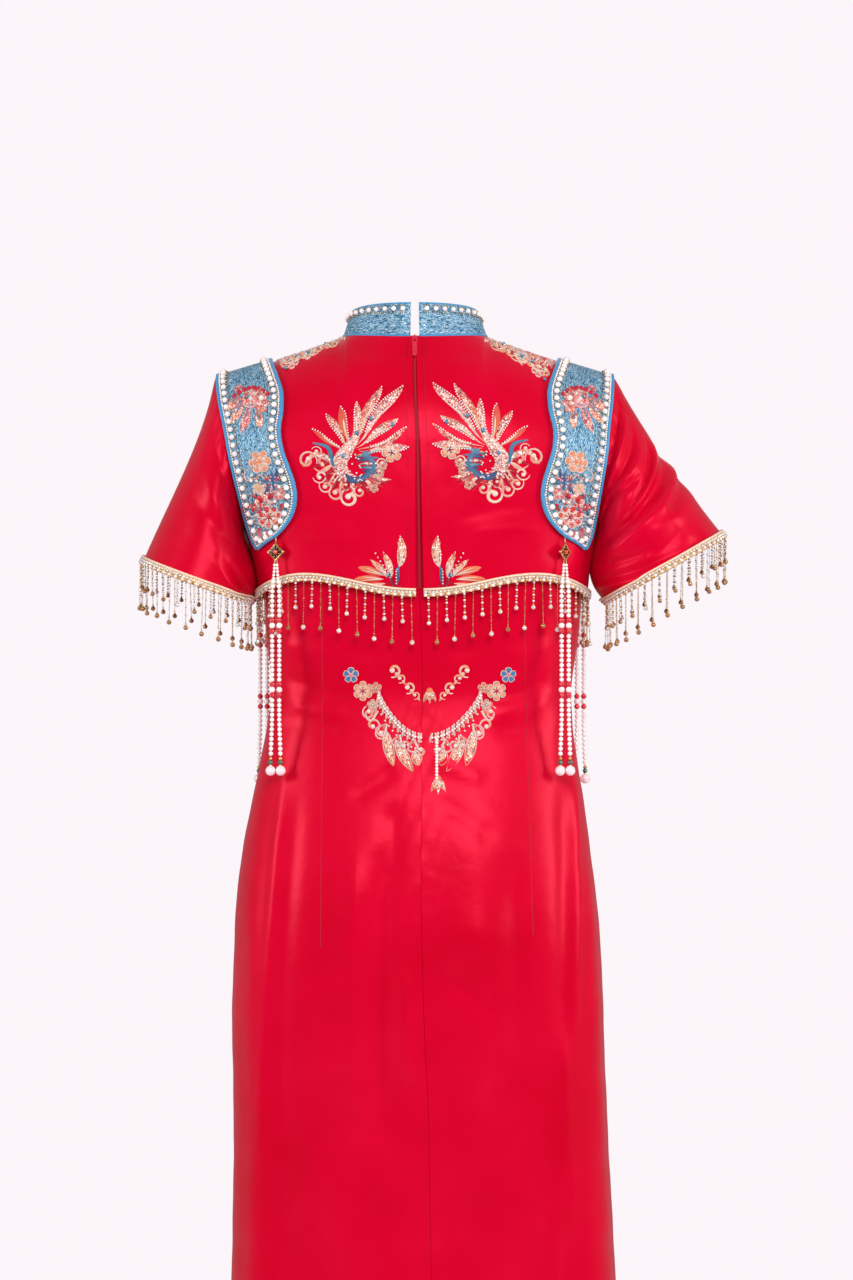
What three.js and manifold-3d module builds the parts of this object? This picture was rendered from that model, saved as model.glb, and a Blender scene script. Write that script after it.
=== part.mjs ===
// A worn, hollow two-layer wedding dress of red satin: a floor-length column dress under a cropped
// top with flared sleeves, a stand collar, two stiff shoulder lappets, beaded fringes, four bead
// tassels and a centre-back zip. Millimetres, +Z up, the front faces -Y and the wearer's left is +X.
// The origin is midway between the shoulder seams at the base of the neck, where the wearer holds it.
import * as THREE from "three";
import { mergeVertices } from "three/addons/utils/BufferGeometryUtils.js";
import Module from "manifold-3d";

const wasm = await Module();
wasm.setup();

// ---- Driving sizes ----
const WALL = 1.5; // satin with its interlining
const SEAM_GAP = 0.3; // between pieces that are sewn together
const HALF_TURN = Math.PI / 2; // from the centre line to the side seam

const NECK = { halfWidth: 72, back: 60, front: 64, backDrop: 5, frontDrop: 48 };
const SHOULDER = { halfWidth: 205, drop: 44, bow: 0.85, rounding: 110 };
const ARMHOLE = { bottom: -195, curve: 1.2 };
const SQUARENESS = 2.6; // 2 is an ellipse, more is boxier

const TOP_HEM = { centre: -268, hump: 16, humpPlace: 0.8 }; // scalloped: the hem rises between centre and side
const TOP_LIFT = { neck: 0.3, hem: 4, over: 200 }; // how far the top stands off the dress
const BACK_SLIT = { neck: 3.2, hem: 8 }; // gap between the top's two back edges

// The worn form, section by section: the section's centre and the back seam's place sideways from
// it, half its width, and how far its back and its front lie from the shoulder line.
const SECTIONS = [
  { z: 40, centre: 0, seam: 0, halfWidth: 214, back: 97, front: 92 },
  { z: -48, centre: 0, seam: 0, halfWidth: 214, back: 98, front: 98 },
  { z: -90, centre: -1.5, seam: 0, halfWidth: 210, back: 99, front: 104 },
  { z: -120, centre: -3, seam: 0, halfWidth: 206, back: 100, front: 112 },
  { z: -156, centre: -4.5, seam: 1, halfWidth: 192, back: 99, front: 122 },
  { z: -195, centre: -6, seam: 2, halfWidth: 177, back: 97, front: 131 },
  { z: -230, centre: -7.5, seam: 3, halfWidth: 169, back: 94, front: 133 },
  { z: -262, centre: -8, seam: 3, halfWidth: 164, back: 91, front: 127 },
  { z: -311, centre: -7.5, seam: 1, halfWidth: 160, back: 85, front: 115 },
  { z: -362, centre: -6.7, seam: -1, halfWidth: 154, back: 81, front: 105 },
  { z: -399, centre: -5, seam: -2, halfWidth: 157, back: 85, front: 103 },
  { z: -430, centre: -4, seam: -3, halfWidth: 162, back: 91, front: 105 },
  { z: -476, centre: -3, seam: -4, halfWidth: 170, back: 101, front: 109 },
  { z: -523, centre: -1.5, seam: -5, halfWidth: 178, back: 111, front: 112 },
  { z: -572, centre: -1.5, seam: -5, halfWidth: 184, back: 118, front: 114 },
  { z: -626, centre: -2.5, seam: -5, halfWidth: 188, back: 120, front: 116 },
  { z: -708, centre: -3, seam: -7, halfWidth: 190.5, back: 117, front: 118 },
  { z: -777, centre: -5, seam: -8.5, halfWidth: 191, back: 114, front: 119 },
  { z: -862, centre: -7, seam: -8, halfWidth: 193, back: 113, front: 121 },
  { z: -970, centre: -8.8, seam: -8, halfWidth: 197, back: 114, front: 124 },
  { z: -1100, centre: -9, seam: -8, halfWidth: 202, back: 116, front: 128 },
  { z: -1200, centre: -9, seam: -8, halfWidth: 206, back: 118, front: 131 },
  { z: -1300, centre: -9, seam: -8, halfWidth: 210, back: 120, front: 134 },
];

// The skirt's largest soft folds. round is degrees from the centre back, plus towards the wearer's
// left; a fold starts at top, reaches its full depth at full, and is out for a ridge, in for a trough.
const SKIRT_FOLDS = [
  { round: 62, lean: -8, top: -430, full: -700, width: 9, depth: 4.5 },
  { round: 40, lean: 3, top: -620, full: -980, width: 8, depth: -4 },
  { round: 22, lean: 2, top: -760, full: -1180, width: 9, depth: 4 },
  { round: -30, lean: -4, top: -700, full: -1060, width: 9, depth: -4 },
  { round: -48, lean: -6, top: -560, full: -1000, width: 8, depth: 5 },
  { round: -68, lean: 4, top: -440, full: -640, width: 9, depth: 4 },
  { round: 106, lean: 3, top: -520, full: -900, width: 9, depth: -4 },
  { round: 128, lean: 6, top: -420, full: -860, width: 9, depth: 5 },
  { round: 152, lean: -3, top: -640, full: -1120, width: 9, depth: -4.5 },
  { round: 176, lean: 5, top: -560, full: -940, width: 9, depth: 4 },
  { round: 204, lean: -4, top: -700, full: -1100, width: 9, depth: -4 },
  { round: 230, lean: -5, top: -440, full: -820, width: 9, depth: 5 },
  { round: 254, lean: 2, top: -560, full: -960, width: 8, depth: -4 },
];

// Each sleeve's hem ring. rise is how steeply the hem climbs outwards, frontDrop how much lower its
// front lies. The wearer's left arm hangs, and the right hand rests on the hip.
const SLEEVES = [
  {
    name: "left", side: 1, x: 224.5, y: 6, z: -256, halfWidth: 59, halfDepth: 76, rise: 20, frontDrop: -8,
  },
  {
    name: "right", side: -1, x: -257, y: 10, z: -241, halfWidth: 69, halfDepth: 74, rise: 29, frontDrop: -4,
  },
];
const SLEEVE_START = 0.6; // the sleeve's seam beyond the armhole's edge
const SLEEVE_STRAIGHT = 1.4; // how far its top is pulled straight, over 1 is a little hollow
const SLEEVE_STEPS = 9;

// A sleeve's creases: place is the turn round the sleeve in degrees from its top towards the back,
// swing how far it drifts by the hem, from and to its stretch along the sleeve.
const SLEEVE_FOLDS = {
  left: [
    { place: 118, swing: -34, from: 0.05, to: 0.75, width: 16, depth: -5 },
    { place: 88, swing: -20, from: 0.1, to: 0.95, width: 15, depth: 4 },
    { place: 238, swing: 26, from: 0.05, to: 0.8, width: 16, depth: -5 },
    { place: 300, swing: 10, from: 0.2, to: 1, width: 18, depth: 4 },
  ],
  right: [
    { place: 10, swing: 120, from: 0.08, to: 0.44, width: 22, depth: -6 },
    { place: -10, swing: 130, from: 0.2, to: 0.56, width: 24, depth: 6 },
    { place: -36, swing: 150, from: 0.3, to: 0.7, width: 24, depth: -8 },
    { place: -46, swing: 150, from: 0.42, to: 0.85, width: 24, depth: 6 },
    { place: 250, swing: 40, from: 0.05, to: 0.7, width: 14, depth: -4 },
  ],
};

// A shoulder lappet's two edges, from the shoulder seam down to its tip, by distance from the
// centre line. Its back and front halves are alike.
const LAPPET = { gap: 1.4, thickness: 2.4, rib: 1.6 };
const LAPPET_EDGES = [
  { inner: 138, innerZ: -46, outer: 200, outerZ: -58 },
  { inner: 132, innerZ: -64, outer: 197, outerZ: -74 },
  { inner: 132, innerZ: -84, outer: 193.5, outerZ: -90 },
  { inner: 135, innerZ: -103, outer: 190.5, outerZ: -106 },
  { inner: 133, innerZ: -121, outer: 187.5, outerZ: -123 },
  { inner: 127, innerZ: -139, outer: 183.5, outerZ: -141 },
  { inner: 122, innerZ: -154, outer: 180, outerZ: -156 },
  { inner: 120, innerZ: -170, outer: 176, outerZ: -172 },
  { inner: 124, innerZ: -187, outer: 172, outerZ: -188 },
  { inner: 136, innerZ: -203, outer: 167.5, outerZ: -204 },
  { inner: 151, innerZ: -213, outer: 163.5, outerZ: -214 },
  { inner: 157, innerZ: -218, outer: 161, outerZ: -218.5 },
];
const LAPPET_AT_SEAM = { inner: 146, outer: 203 };
const LAPPET_COLUMNS = [0, 0.1, 0.3, 0.5, 0.7, 0.9, 1];
const LAPPET_RIBS = [1, 5]; // the columns raised under the two rows of pearls
const LAPPET_CREST = [0.03, 0.12, 0.29, 0.55]; // closer rows where the lappet turns over the shoulder

const COLLAR = {
  thickness: 2.7, foot: 3.6, gap: 9, backHeight: 31, sideHeight: 24, frontHeight: 32, lean: 4, rib: 1.4,
};

const TRIM = { height: 7, thickness: 2.6, gap: 0.4, overhang: 1 };
const STRAND = {
  pitch: 9, root: 2, short: 28, long: 48, shortRadius: 1.25, longRadius: 0.75, drop: 2.3, dropLength: 6,
};

// A tassel: one cord, a diamond plaque and two strings of beads. along is the distance below the
// plaque, half the half width of a string there.
const TASSEL = {
  cord: 6, cordHalf: 0.8, plaque: 20, plaqueThickness: 2.6, rootApart: 1.7, apart: 4, endApart: 5.4,
};
const STRING = [
  { along: -5, half: 0.9 },
  { along: 2, half: 1.1 },
  { along: 16, half: 2.4 },
  { along: 58, half: 2.4 },
  { along: 60, half: 3.3 },
  { along: 73, half: 3.3 },
  { along: 75, half: 2.4 },
  { along: 121, half: 2.4 },
  { along: 123, half: 3.3 },
  { along: 136, half: 3.3 },
  { along: 138, half: 2.4 },
  { along: 202, half: 2.4 },
  { along: 208, half: 4.8 },
  { along: 214, half: 3.6 },
];
// Where each tassel hangs: face 1 is the back. across is from the centre line, turn how its plaque faces.
const TASSELS = [
  { name: "back_left", face: 1, side: 1, across: 141, z: -206.8, turn: 22 },
  { name: "back_right", face: 1, side: -1, across: 141, z: -206.8, turn: -52 },
  { name: "front_left", face: -1, side: 1, across: 159.5, z: -218.5, turn: 128 },
  { name: "front_right", face: -1, side: -1, across: 159.5, z: -218.5, turn: -128 },
];

const ZIP = { chainWidth: 2.2, chainTop: -9, chainBottom: -262, sliderZ: -10, tilt: 31 };
const SLIDER = { width: 6, length: 8, thickness: 1.6 };
const CROWN = { width: 1.4, high: 5.2, top: 2.5, bottom: -3.5, bar: 1.1 };
const TAB = { width: 4.4, length: 23, thickness: 1, bar: 0.6, window: 5.2, windowHalf: 1.2 };
const HINGE_HEIGHT = 2.85; // the tab's cross-bar above the slider's underside

const RED_SATIN = new THREE.MeshStandardMaterial({ color: "#d4062f", roughness: 0.32, metalness: 0 });
const BLUE_BROCADE = new THREE.MeshStandardMaterial({ color: "#4f9fc4", roughness: 0.35, metalness: 0.4 });
const GOLD_BEADS = new THREE.MeshStandardMaterial({ color: "#c9a06a", roughness: 0.3, metalness: 0.7 });
const PEARL_BEADS = new THREE.MeshStandardMaterial({ color: "#f3dcdc", roughness: 0.25, metalness: 0 });
const RED_METAL = new THREE.MeshStandardMaterial({ color: "#cf2740", roughness: 0.3, metalness: 0.2 });

// ---- Small helpers ----
const lerp = (a, b, t) => a + (b - a) * t;
const clamp = (v, low, high) => Math.min(high, Math.max(low, v));
const smooth = (t) => clamp(t, 0, 1) ** 2 * (3 - 2 * clamp(t, 0, 1));
const radians = (degrees) => (degrees * Math.PI) / 180;
const bell = (t) => Math.exp(-t * t);
const v3 = (x, y, z) => new THREE.Vector3(x, y, z);

// A smooth curve through a table's column, by its falling z column.
function sectionAt(z) {
  const last = SECTIONS.length - 1;
  let i = SECTIONS.findIndex((s) => s.z <= z) - 1;
  if (i < -1) i = last - 1;
  i = clamp(i, 0, last - 1);
  const [a, b, c, d] = [i - 1, i, i + 1, i + 2].map((k) => SECTIONS[clamp(k, 0, last)]);
  const span = c.z - b.z;
  const t = clamp((z - b.z) / span, 0, 1);
  const at = { z };
  for (const key of ["centre", "seam", "halfWidth", "back", "front"]) {
    const m0 = ((c[key] - a[key]) / (c.z - a.z || 1)) * span;
    const m1 = ((d[key] - b[key]) / (d.z - b.z || 1)) * span;
    at[key] =
      (2 * t ** 3 - 3 * t * t + 1) * b[key] + (t ** 3 - 2 * t * t + t) * m0 +
      (3 * t * t - 2 * t ** 3) * c[key] + (t ** 3 - t * t) * m1;
  }
  return at;
}

// ---- The worn form ----
// face is 1 for the back and -1 for the front; x is the distance from the section's centre.
function topLine(face, x) {
  const across = Math.abs(x) / NECK.halfWidth;
  if (across >= 1) {
    const along = (Math.abs(x) - NECK.halfWidth) / (SHOULDER.halfWidth - NECK.halfWidth);
    return -SHOULDER.drop * along ** SHOULDER.bow;
  }
  if (face > 0) return -NECK.backDrop * (1 - across ** 2);
  return -NECK.frontDrop * (1 - across ** 2) ** 0.75;
}

function neckDepth(face, x) {
  const across = Math.min(1, Math.abs(x) / NECK.halfWidth);
  return (face > 0 ? NECK.back : NECK.front) * Math.sqrt(1 - across ** 2);
}

// How far the form lies from the shoulder line, raised to the power that keeps it smooth at the sides.
function depthPower(face, x, z, neckX = x) {
  const s = sectionAt(z);
  const deepest = face > 0 ? s.back : s.front;
  const inside = 1 - (Math.abs(x) / s.halfWidth) ** SQUARENESS;
  const below = clamp((topLine(face, x) - z) / SHOULDER.rounding, 0, 1);
  const round = lerp(1, 0.5, smooth((Math.abs(x) / NECK.halfWidth - 0.6) / 0.7));
  const grown = (1 - (1 - below) ** 2) ** round;
  const neck = neckDepth(face, neckX);
  if (neck <= 0 || inside <= 0) return deepest ** SQUARENESS * inside * grown ** SQUARENESS;
  return lerp(neck, deepest * inside ** (1 / SQUARENESS), grown) ** SQUARENESS;
}

const STEP = 0.5; // for slopes
function formAt(face, x, z) {
  const s = sectionAt(z);
  const depth = Math.max(0, depthPower(face, x, z)) ** (1 / SQUARENESS);
  const slope = (dx, dz) =>
    (depthPower(face, x + dx, z + dz, x) - depthPower(face, x - dx, z - dz, x)) / (2 * STEP);
  const away = (((depth + STEP) ** SQUARENESS - Math.max(0, depth - STEP) ** SQUARENESS) / (2 * STEP)) * face;
  const normal = v3(-slope(STEP, 0), away, -slope(0, STEP)).normalize();
  const seam = face > 0 ? s.seam * (1 - (x / s.halfWidth) ** 2) : 0;
  const point = v3(s.centre + seam + x, face * depth, z);
  const turn = Math.asin(clamp(Math.abs(x) / s.halfWidth, 0, 1) ** (SQUARENESS / 2)) * Math.sign(x);
  return { point, normal, turn };
}

// How far the skirt's folds push its cloth out at a turn and a height.
function skirtFold(face, turn, z) {
  const round = (face > 0 ? turn : Math.PI - turn) * (180 / Math.PI);
  return SKIRT_FOLDS.reduce((sum, f) => {
    const down = smooth((f.top - z) / (f.top - f.full));
    const off = round - f.round - f.lean * down;
    const nearest = off - 360 * Math.round(off / 360);
    return sum + f.depth * down * bell(nearest / f.width);
  }, 0);
}

const across = (turn) => Math.sign(turn) * Math.abs(Math.sin(turn)) ** (2 / SQUARENESS);

// A row of a panel: the distance from the centre line and the height for each turn.
const rowAtHeight = (z) => (face, turn) => ({ x: sectionAt(z).halfWidth * across(turn), z });
const rowAtRise = (rise) => (face, turn) => {
  const reach = lerp(sectionAt(ARMHOLE.bottom).halfWidth, SHOULDER.halfWidth, rise ** ARMHOLE.curve);
  const seamZ = topLine(face, SHOULDER.halfWidth * across(turn));
  return { x: reach * across(turn), z: lerp(ARMHOLE.bottom, seamZ, rise) };
};
function topHemAt(turn) {
  const part = Math.abs(turn) / HALF_TURN;
  return TOP_HEM.centre + TOP_HEM.hump * Math.sin(Math.PI * part ** TOP_HEM.humpPlace) ** 2;
}
const rowAboveTopHem = (part) => (face, turn) => {
  const z = lerp(topHemAt(turn), ARMHOLE.bottom, part);
  return { x: sectionAt(z).halfWidth * across(turn), z };
};

// How far the top's inside stands off the dress.
function topLift(face, x, z) {
  return lerp(TOP_LIFT.neck, TOP_LIFT.hem, smooth((topLine(face, x) - z) / TOP_LIFT.over));
}

// ---- Closed walls ----
const materials = new Map();
function named(name, geometry, material) {
  const mesh = new THREE.Mesh(geometry, material);
  mesh.name = name;
  materials.set(name, material);
  return mesh;
}

// A closed body from its points and its triangles.
function body(points, triangles) {
  const geometry = new THREE.BufferGeometry().setFromPoints(points);
  geometry.setIndex(triangles.flat());
  return geometry;
}

// A wall between an outer and an inner grid of points, both [row][column]; loop joins the last
// column to the first. Rows run along the left hand of the columns, seen from outside.
function wall(outer, inner, loop = false) {
  const rows = outer.length;
  const columns = outer[0].length;
  const at = (skin, r, c) => skin * rows * columns + r * columns + (c % columns);
  const triangles = [];
  const quad = (a, b, c, d) => triangles.push([a, b, c], [a, c, d]);
  const lastColumn = loop ? columns : columns - 1;
  for (let r = 0; r < rows - 1; r++) {
    for (let c = 0; c < lastColumn; c++) {
      quad(at(0, r, c), at(0, r, c + 1), at(0, r + 1, c + 1), at(0, r + 1, c));
      quad(at(1, r, c), at(1, r + 1, c), at(1, r + 1, c + 1), at(1, r, c + 1));
    }
    if (!loop) {
      quad(at(0, r, 0), at(0, r + 1, 0), at(1, r + 1, 0), at(1, r, 0));
      const e = columns - 1;
      quad(at(0, r, e), at(1, r, e), at(1, r + 1, e), at(0, r + 1, e));
    }
  }
  for (let c = 0; c < lastColumn; c++) {
    quad(at(0, 0, c), at(1, 0, c), at(1, 0, c + 1), at(0, 0, c + 1));
    const r = rows - 1;
    quad(at(0, r, c), at(0, r, c + 1), at(1, r, c + 1), at(1, r, c));
  }
  return body([...outer.flat(), ...inner.flat()], triangles);
}

function solidOf(geometry) {
  const bare = new THREE.BufferGeometry();
  bare.setAttribute("position", geometry.getAttribute("position"));
  bare.setIndex(geometry.index);
  const merged = mergeVertices(bare, 1e-4);
  const positions = new Float32Array(merged.attributes.position.array);
  return new wasm.Manifold(
    new wasm.Mesh({ numProp: 3, vertProperties: positions, triVerts: new Uint32Array(merged.index.array) }),
  );
}

// Several closed bodies fused into one.
function fused(geometries) {
  const joined = wasm.Manifold.union(geometries.map(solidOf)).getMesh();
  const geometry = new THREE.BufferGeometry();
  const positions = new Float32Array(joined.numVert * 3);
  for (let i = 0; i < joined.numVert; i++) {
    positions.set(joined.vertProperties.subarray(i * joined.numProp, i * joined.numProp + 3), i * 3);
  }
  geometry.setAttribute("position", new THREE.BufferAttribute(positions, 3));
  geometry.setIndex(new THREE.BufferAttribute(joined.triVerts, 1));
  return geometry;
}

// A hanging strand: rings of a few sides down a line of centres, closed at both ends.
function strand(rings, sides, turned = 0) {
  const points = [];
  for (const { centre, radius } of rings) {
    for (let k = 0; k < sides; k++) {
      const a = turned - (2 * Math.PI * k) / sides;
      points.push(v3(centre.x + radius * Math.cos(a), centre.y + radius * Math.sin(a), centre.z));
    }
  }
  const triangles = [];
  for (let r = 0; r < rings.length - 1; r++) {
    for (let k = 0; k < sides; k++) {
      const [a, b] = [r * sides + k, r * sides + ((k + 1) % sides)];
      triangles.push([a, b, b + sides], [a, b + sides, a + sides]);
    }
  }
  const end = (rings.length - 1) * sides;
  for (let k = 1; k < sides - 1; k++) {
    triangles.push([0, k + 1, k], [end, end + k, end + k + 1]);
  }
  return body(points, triangles);
}

// ---- Panels of the dress and of the top ----
const NECK_COLUMNS = [0, 0.35, 0.62, 0.82, 0.94]; // parts of the way to the neck point
const SHOULDER_COLUMNS = 6;
const YOKE_ROWS = 9;
const neckTurn = Math.asin((NECK.halfWidth / SHOULDER.halfWidth) ** (SQUARENESS / 2));
const HALF_COLUMNS = [
  ...NECK_COLUMNS.map((part) => neckTurn * part),
  ...Array.from({ length: SHOULDER_COLUMNS + 1 }, (_, k) =>
    lerp(neckTurn, HALF_TURN, k / SHOULDER_COLUMNS)),
];
const ALL_COLUMNS = [...HALF_COLUMNS.slice(1).reverse().map((t) => -t), ...HALF_COLUMNS];
const RISES = Array.from({ length: YOKE_ROWS }, (_, k) => (1 - Math.cos((Math.PI * (k + 1)) / YOKE_ROWS)) / 2);
const YOKE = RISES.map(rowAtRise);
const SKIRT_ROWS = [
  -1300, -1195, -1090, -990, -900, -815, -735, -660, -590, -530, -480, -435, -395, -355, -311, -268,
  -230, -195,
].map(rowAtHeight);
const TOP_ROWS = [0, 0.33, 0.66, 1].map(rowAboveTopHem);

// One skin of a panel, out from the form by the given distance.
function skin(face, turns, rows, out, slit) {
  return rows.map((row) =>
    turns.map((turn) => {
      const { x, z } = row(face, turn);
      const place = formAt(face, x, z);
      const point = place.point.addScaledVector(place.normal, out(x, z, turn));
      point.y += (face * SEAM_GAP) / 2;
      const half = lerp(slit.neck, slit.hem, clamp(z / TOP_HEM.centre, 0, 1)) / 2;
      point.x += Math.sign(slit.side) * half * (1 - Math.abs(across(turn)));
      return point;
    }),
  );
}

// Columns run so that the rows climb along their left hand, seen from outside.
function columnsFor(face, side) {
  const turns = side === 0 ? ALL_COLUMNS : HALF_COLUMNS.map((t) => t * side);
  return [...turns].sort((a, b) => face * (b - a));
}

const NO_SLIT = { side: 0, neck: 0, hem: 0 };
const SEWN = { neck: SEAM_GAP, hem: SEAM_GAP };
function dressPanel(name, face, side) {
  const turns = columnsFor(face, side);
  const slit = side ? { side, ...SEWN } : NO_SLIT;
  const rows = [...SKIRT_ROWS, ...YOKE];
  const outer = skin(face, turns, rows, (x, z, turn) => skirtFold(face, turn, z), slit);
  const inner = skin(face, turns, rows, (x, z, turn) => skirtFold(face, turn, z) - WALL, slit);
  return named(name, wall(outer, inner), RED_SATIN);
}

function topPanel(name, face, side) {
  const turns = columnsFor(face, side);
  const slit = side ? { side, ...BACK_SLIT } : NO_SLIT;
  const rows = [...TOP_ROWS, ...YOKE];
  const outer = skin(face, turns, rows, (x, z) => topLift(face, x, z) + WALL, slit);
  const inner = skin(face, turns, rows, (x, z) => topLift(face, x, z), slit);
  return named(name, wall(outer, inner), RED_SATIN);
}

// A place on the top's outside, pushed out by a distance.
function onTop(face, x, z, out) {
  const { point, normal } = formAt(face, x, z);
  point.addScaledVector(normal, topLift(face, x, z) + WALL + out);
  return { point, normal };
}

// ---- Sleeves ----
// The armhole's edge, round from the shoulder by the back to the armpit and up the front.
function armhole(side) {
  const ring = [];
  for (let k = 0; k < 2 * YOKE_ROWS; k++) {
    const face = k <= YOKE_ROWS ? 1 : -1;
    const rise = (1 + Math.cos((Math.PI * k) / YOKE_ROWS)) / 2;
    const { x, z } = rowAtRise(rise)(face, side * HALF_TURN);
    const { point } = onTop(face, x, z, 0);
    if (k % YOKE_ROWS) point.y += (face * SEAM_GAP) / 2;
    ring.push(point);
  }
  return ring;
}

function hemRing(sleeve) {
  const tilt = radians(sleeve.rise);
  const outward = v3(sleeve.side * Math.cos(tilt), 0, Math.sin(tilt));
  return Array.from({ length: 2 * YOKE_ROWS }, (_, k) => {
    const a = (Math.PI * k) / YOKE_ROWS;
    const point = v3(sleeve.x, sleeve.y, sleeve.z).addScaledVector(outward, sleeve.halfWidth * Math.cos(a));
    point.y += sleeve.halfDepth * Math.sin(a);
    point.z -= (sleeve.frontDrop * (1 - Math.sin(a))) / 2;
    return point;
  });
}

const hermite = (p0, t0, p1, t1, s) =>
  v3(0, 0, 0)
    .addScaledVector(p0, 2 * s ** 3 - 3 * s * s + 1)
    .addScaledVector(t0, s ** 3 - 2 * s * s + s)
    .addScaledVector(p1, 3 * s * s - 2 * s ** 3)
    .addScaledVector(t1, s ** 3 - s * s);

const meanOf = (points) => points.reduce((sum, p) => sum.add(p), v3(0, 0, 0)).divideScalar(points.length);

// The sleeve's outer skin as rows of points from the armhole to the hem.
function sleeveSkin(sleeve) {
  const start = armhole(sleeve.side);
  const end = hemRing(sleeve);
  const tilt = radians(sleeve.rise);
  const hang = v3(sleeve.side * Math.sin(tilt), 0, -Math.cos(tilt));
  start.forEach((p) => (p.x += sleeve.side * SLEEVE_START));
  const rings = Array.from({ length: SLEEVE_STEPS + 1 }, (_, r) => {
    const s = r / SLEEVE_STEPS;
    return start.map((p0, k) => {
      const a = (Math.PI * k) / YOKE_ROWS;
      const up = (1 + Math.cos(a)) / 2; // 1 on the shoulder, 0 at the armpit
      const length = p0.distanceTo(end[k]);
      const straight = end[k].clone().sub(p0).normalize();
      const leave = v3(sleeve.side * lerp(0.12, 0.75, up ** 0.7), 0.45 * Math.sin(a), lerp(-1, -0.62, up));
      leave.normalize().lerp(straight, SLEEVE_STRAIGHT * up).normalize();
      const arrive = straight.lerp(hang, 0.6 - SLEEVE_STRAIGHT * up).normalize();
      return hermite(p0, leave.multiplyScalar(length), end[k], arrive.multiplyScalar(length), s);
    });
  });
  return rings.map((ring, r) => {
    const s = r / SLEEVE_STEPS;
    const middle = meanOf(ring);
    return ring.map((p, k) => {
      const turn = (180 * k) / YOKE_ROWS;
      const push = SLEEVE_FOLDS[sleeve.name].reduce((sum, f) => {
        const part = clamp((s - f.from) / (f.to - f.from), 0, 1);
        const off = turn - f.place - f.swing * part;
        return sum + f.depth * Math.sin(Math.PI * part) * bell((off - 360 * Math.round(off / 360)) / f.width);
      }, 0);
      return p.clone().addScaledVector(p.clone().sub(middle).normalize(), push);
    });
  });
}

// The same rings drawn in towards their middles by a distance.
function drawnIn(rings, distance) {
  return rings.map((ring) => {
    const middle = meanOf(ring);
    return ring.map((p) => p.clone().addScaledVector(middle.clone().sub(p).normalize(), distance));
  });
}

function sleevePiece(sleeve) {
  const outer = sleeveSkin(sleeve);
  const inner = drawnIn(outer, WALL);
  const order = (rings) => (sleeve.side > 0 ? rings.map((ring) => [...ring].reverse()) : rings);
  return named(`sleeve_${sleeve.name}`, wall(order(outer), order(inner), true), RED_SATIN);
}

// ---- Collar ----
function neckPoint(angle) {
  const face = Math.cos(angle) >= 0 ? 1 : -1;
  const x = NECK.halfWidth * Math.sin(angle);
  const depth = neckDepth(face, clamp(x, -NECK.halfWidth, NECK.halfWidth));
  return { face, point: v3(x, face * depth, topLine(face, x * 0.99999)) };
}

function collarPiece() {
  const steps = 27;
  const halfGap = Math.asin(COLLAR.gap / 2 / NECK.halfWidth);
  const skins = [];
  for (const side of [1, -1]) {
    const rows = [0, 0.72, 0.88, 1].map((up) =>
      Array.from({ length: steps + 1 }, (_, k) => {
        const angle = lerp(2 * Math.PI - halfGap, halfGap, k / steps);
        const { point } = neckPoint(angle);
        const toBack = Math.cos(angle);
        const tall = lerp(COLLAR.sideHeight, toBack > 0 ? COLLAR.backHeight : COLLAR.frontHeight, Math.abs(toBack));
        const rib = side > 0 && up === 0.88 ? COLLAR.rib : 0;
        const outward = v3(Math.sin(angle), Math.cos(angle), 0);
        point.addScaledVector(outward, (side * COLLAR.thickness) / 2 + rib - COLLAR.lean * up);
        point.z += COLLAR.foot + tall * up;
        return point;
      }),
    );
    skins.push(rows);
  }
  return named("stand_collar", wall(skins[0], skins[1]), BLUE_BROCADE);
}

// ---- Shoulder lappets ----
// The lappet's rows from its back tip over the shoulder to its front tip.
function lappetRows() {
  const first = LAPPET_EDGES[0];
  const ridge = {
    ...LAPPET_AT_SEAM,
    innerZ: topLine(1, LAPPET_AT_SEAM.inner),
    outerZ: topLine(1, LAPPET_AT_SEAM.outer),
  };
  const crest = LAPPET_CREST.map((part) => {
    const row = {};
    for (const key of Object.keys(ridge)) row[key] = lerp(ridge[key], first[key], part);
    return row;
  });
  const down = [...crest, ...LAPPET_EDGES];
  return [
    ...down.map((row) => ({ ...row, face: 1 })).reverse(),
    { ...ridge, face: 1, onRidge: true },
    ...down.map((row) => ({ ...row, face: -1 })),
  ];
}

function lappetPiece(name, side) {
  const skinAt = (out, ribbed) =>
    lappetRows().map((row) =>
      LAPPET_COLUMNS.map((part, column) => {
        const x = lerp(row.inner, row.outer, part);
        const z = row.onRidge ? topLine(row.face, x) : lerp(row.innerZ, row.outerZ, part);
        const rib = ribbed && LAPPET_RIBS.includes(column) ? LAPPET.rib : 0;
        return onTop(row.face, side * x, z, out + rib).point;
      }),
    );
  const outer = skinAt(LAPPET.gap + LAPPET.thickness, true);
  const inner = skinAt(LAPPET.gap, false);
  const order = (rows) => (side > 0 ? rows.map((row) => [...row].reverse()) : rows);
  return named(name, wall(order(outer), order(inner)), BLUE_BROCADE);
}

// ---- Beaded trims with their fringes ----
// Places at equal steps along a line of points.
function spaced(line, pitch, loop) {
  const path = loop ? [...line, line[0]] : line;
  const lengths = path.slice(1).map((point, i) => point.distanceTo(path[i]));
  const total = lengths.reduce((a, b) => a + b, 0);
  const count = Math.floor(total / pitch);
  const places = [];
  let i = 0;
  let passed = 0;
  for (let k = 0; k < count; k++) {
    const goal = (total * (k + 0.5)) / count;
    while (i < lengths.length - 1 && passed + lengths[i] < goal) passed += lengths[i++];
    places.push(path[i].clone().lerp(path[i + 1], (goal - passed) / lengths[i]));
  }
  return places;
}

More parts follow.
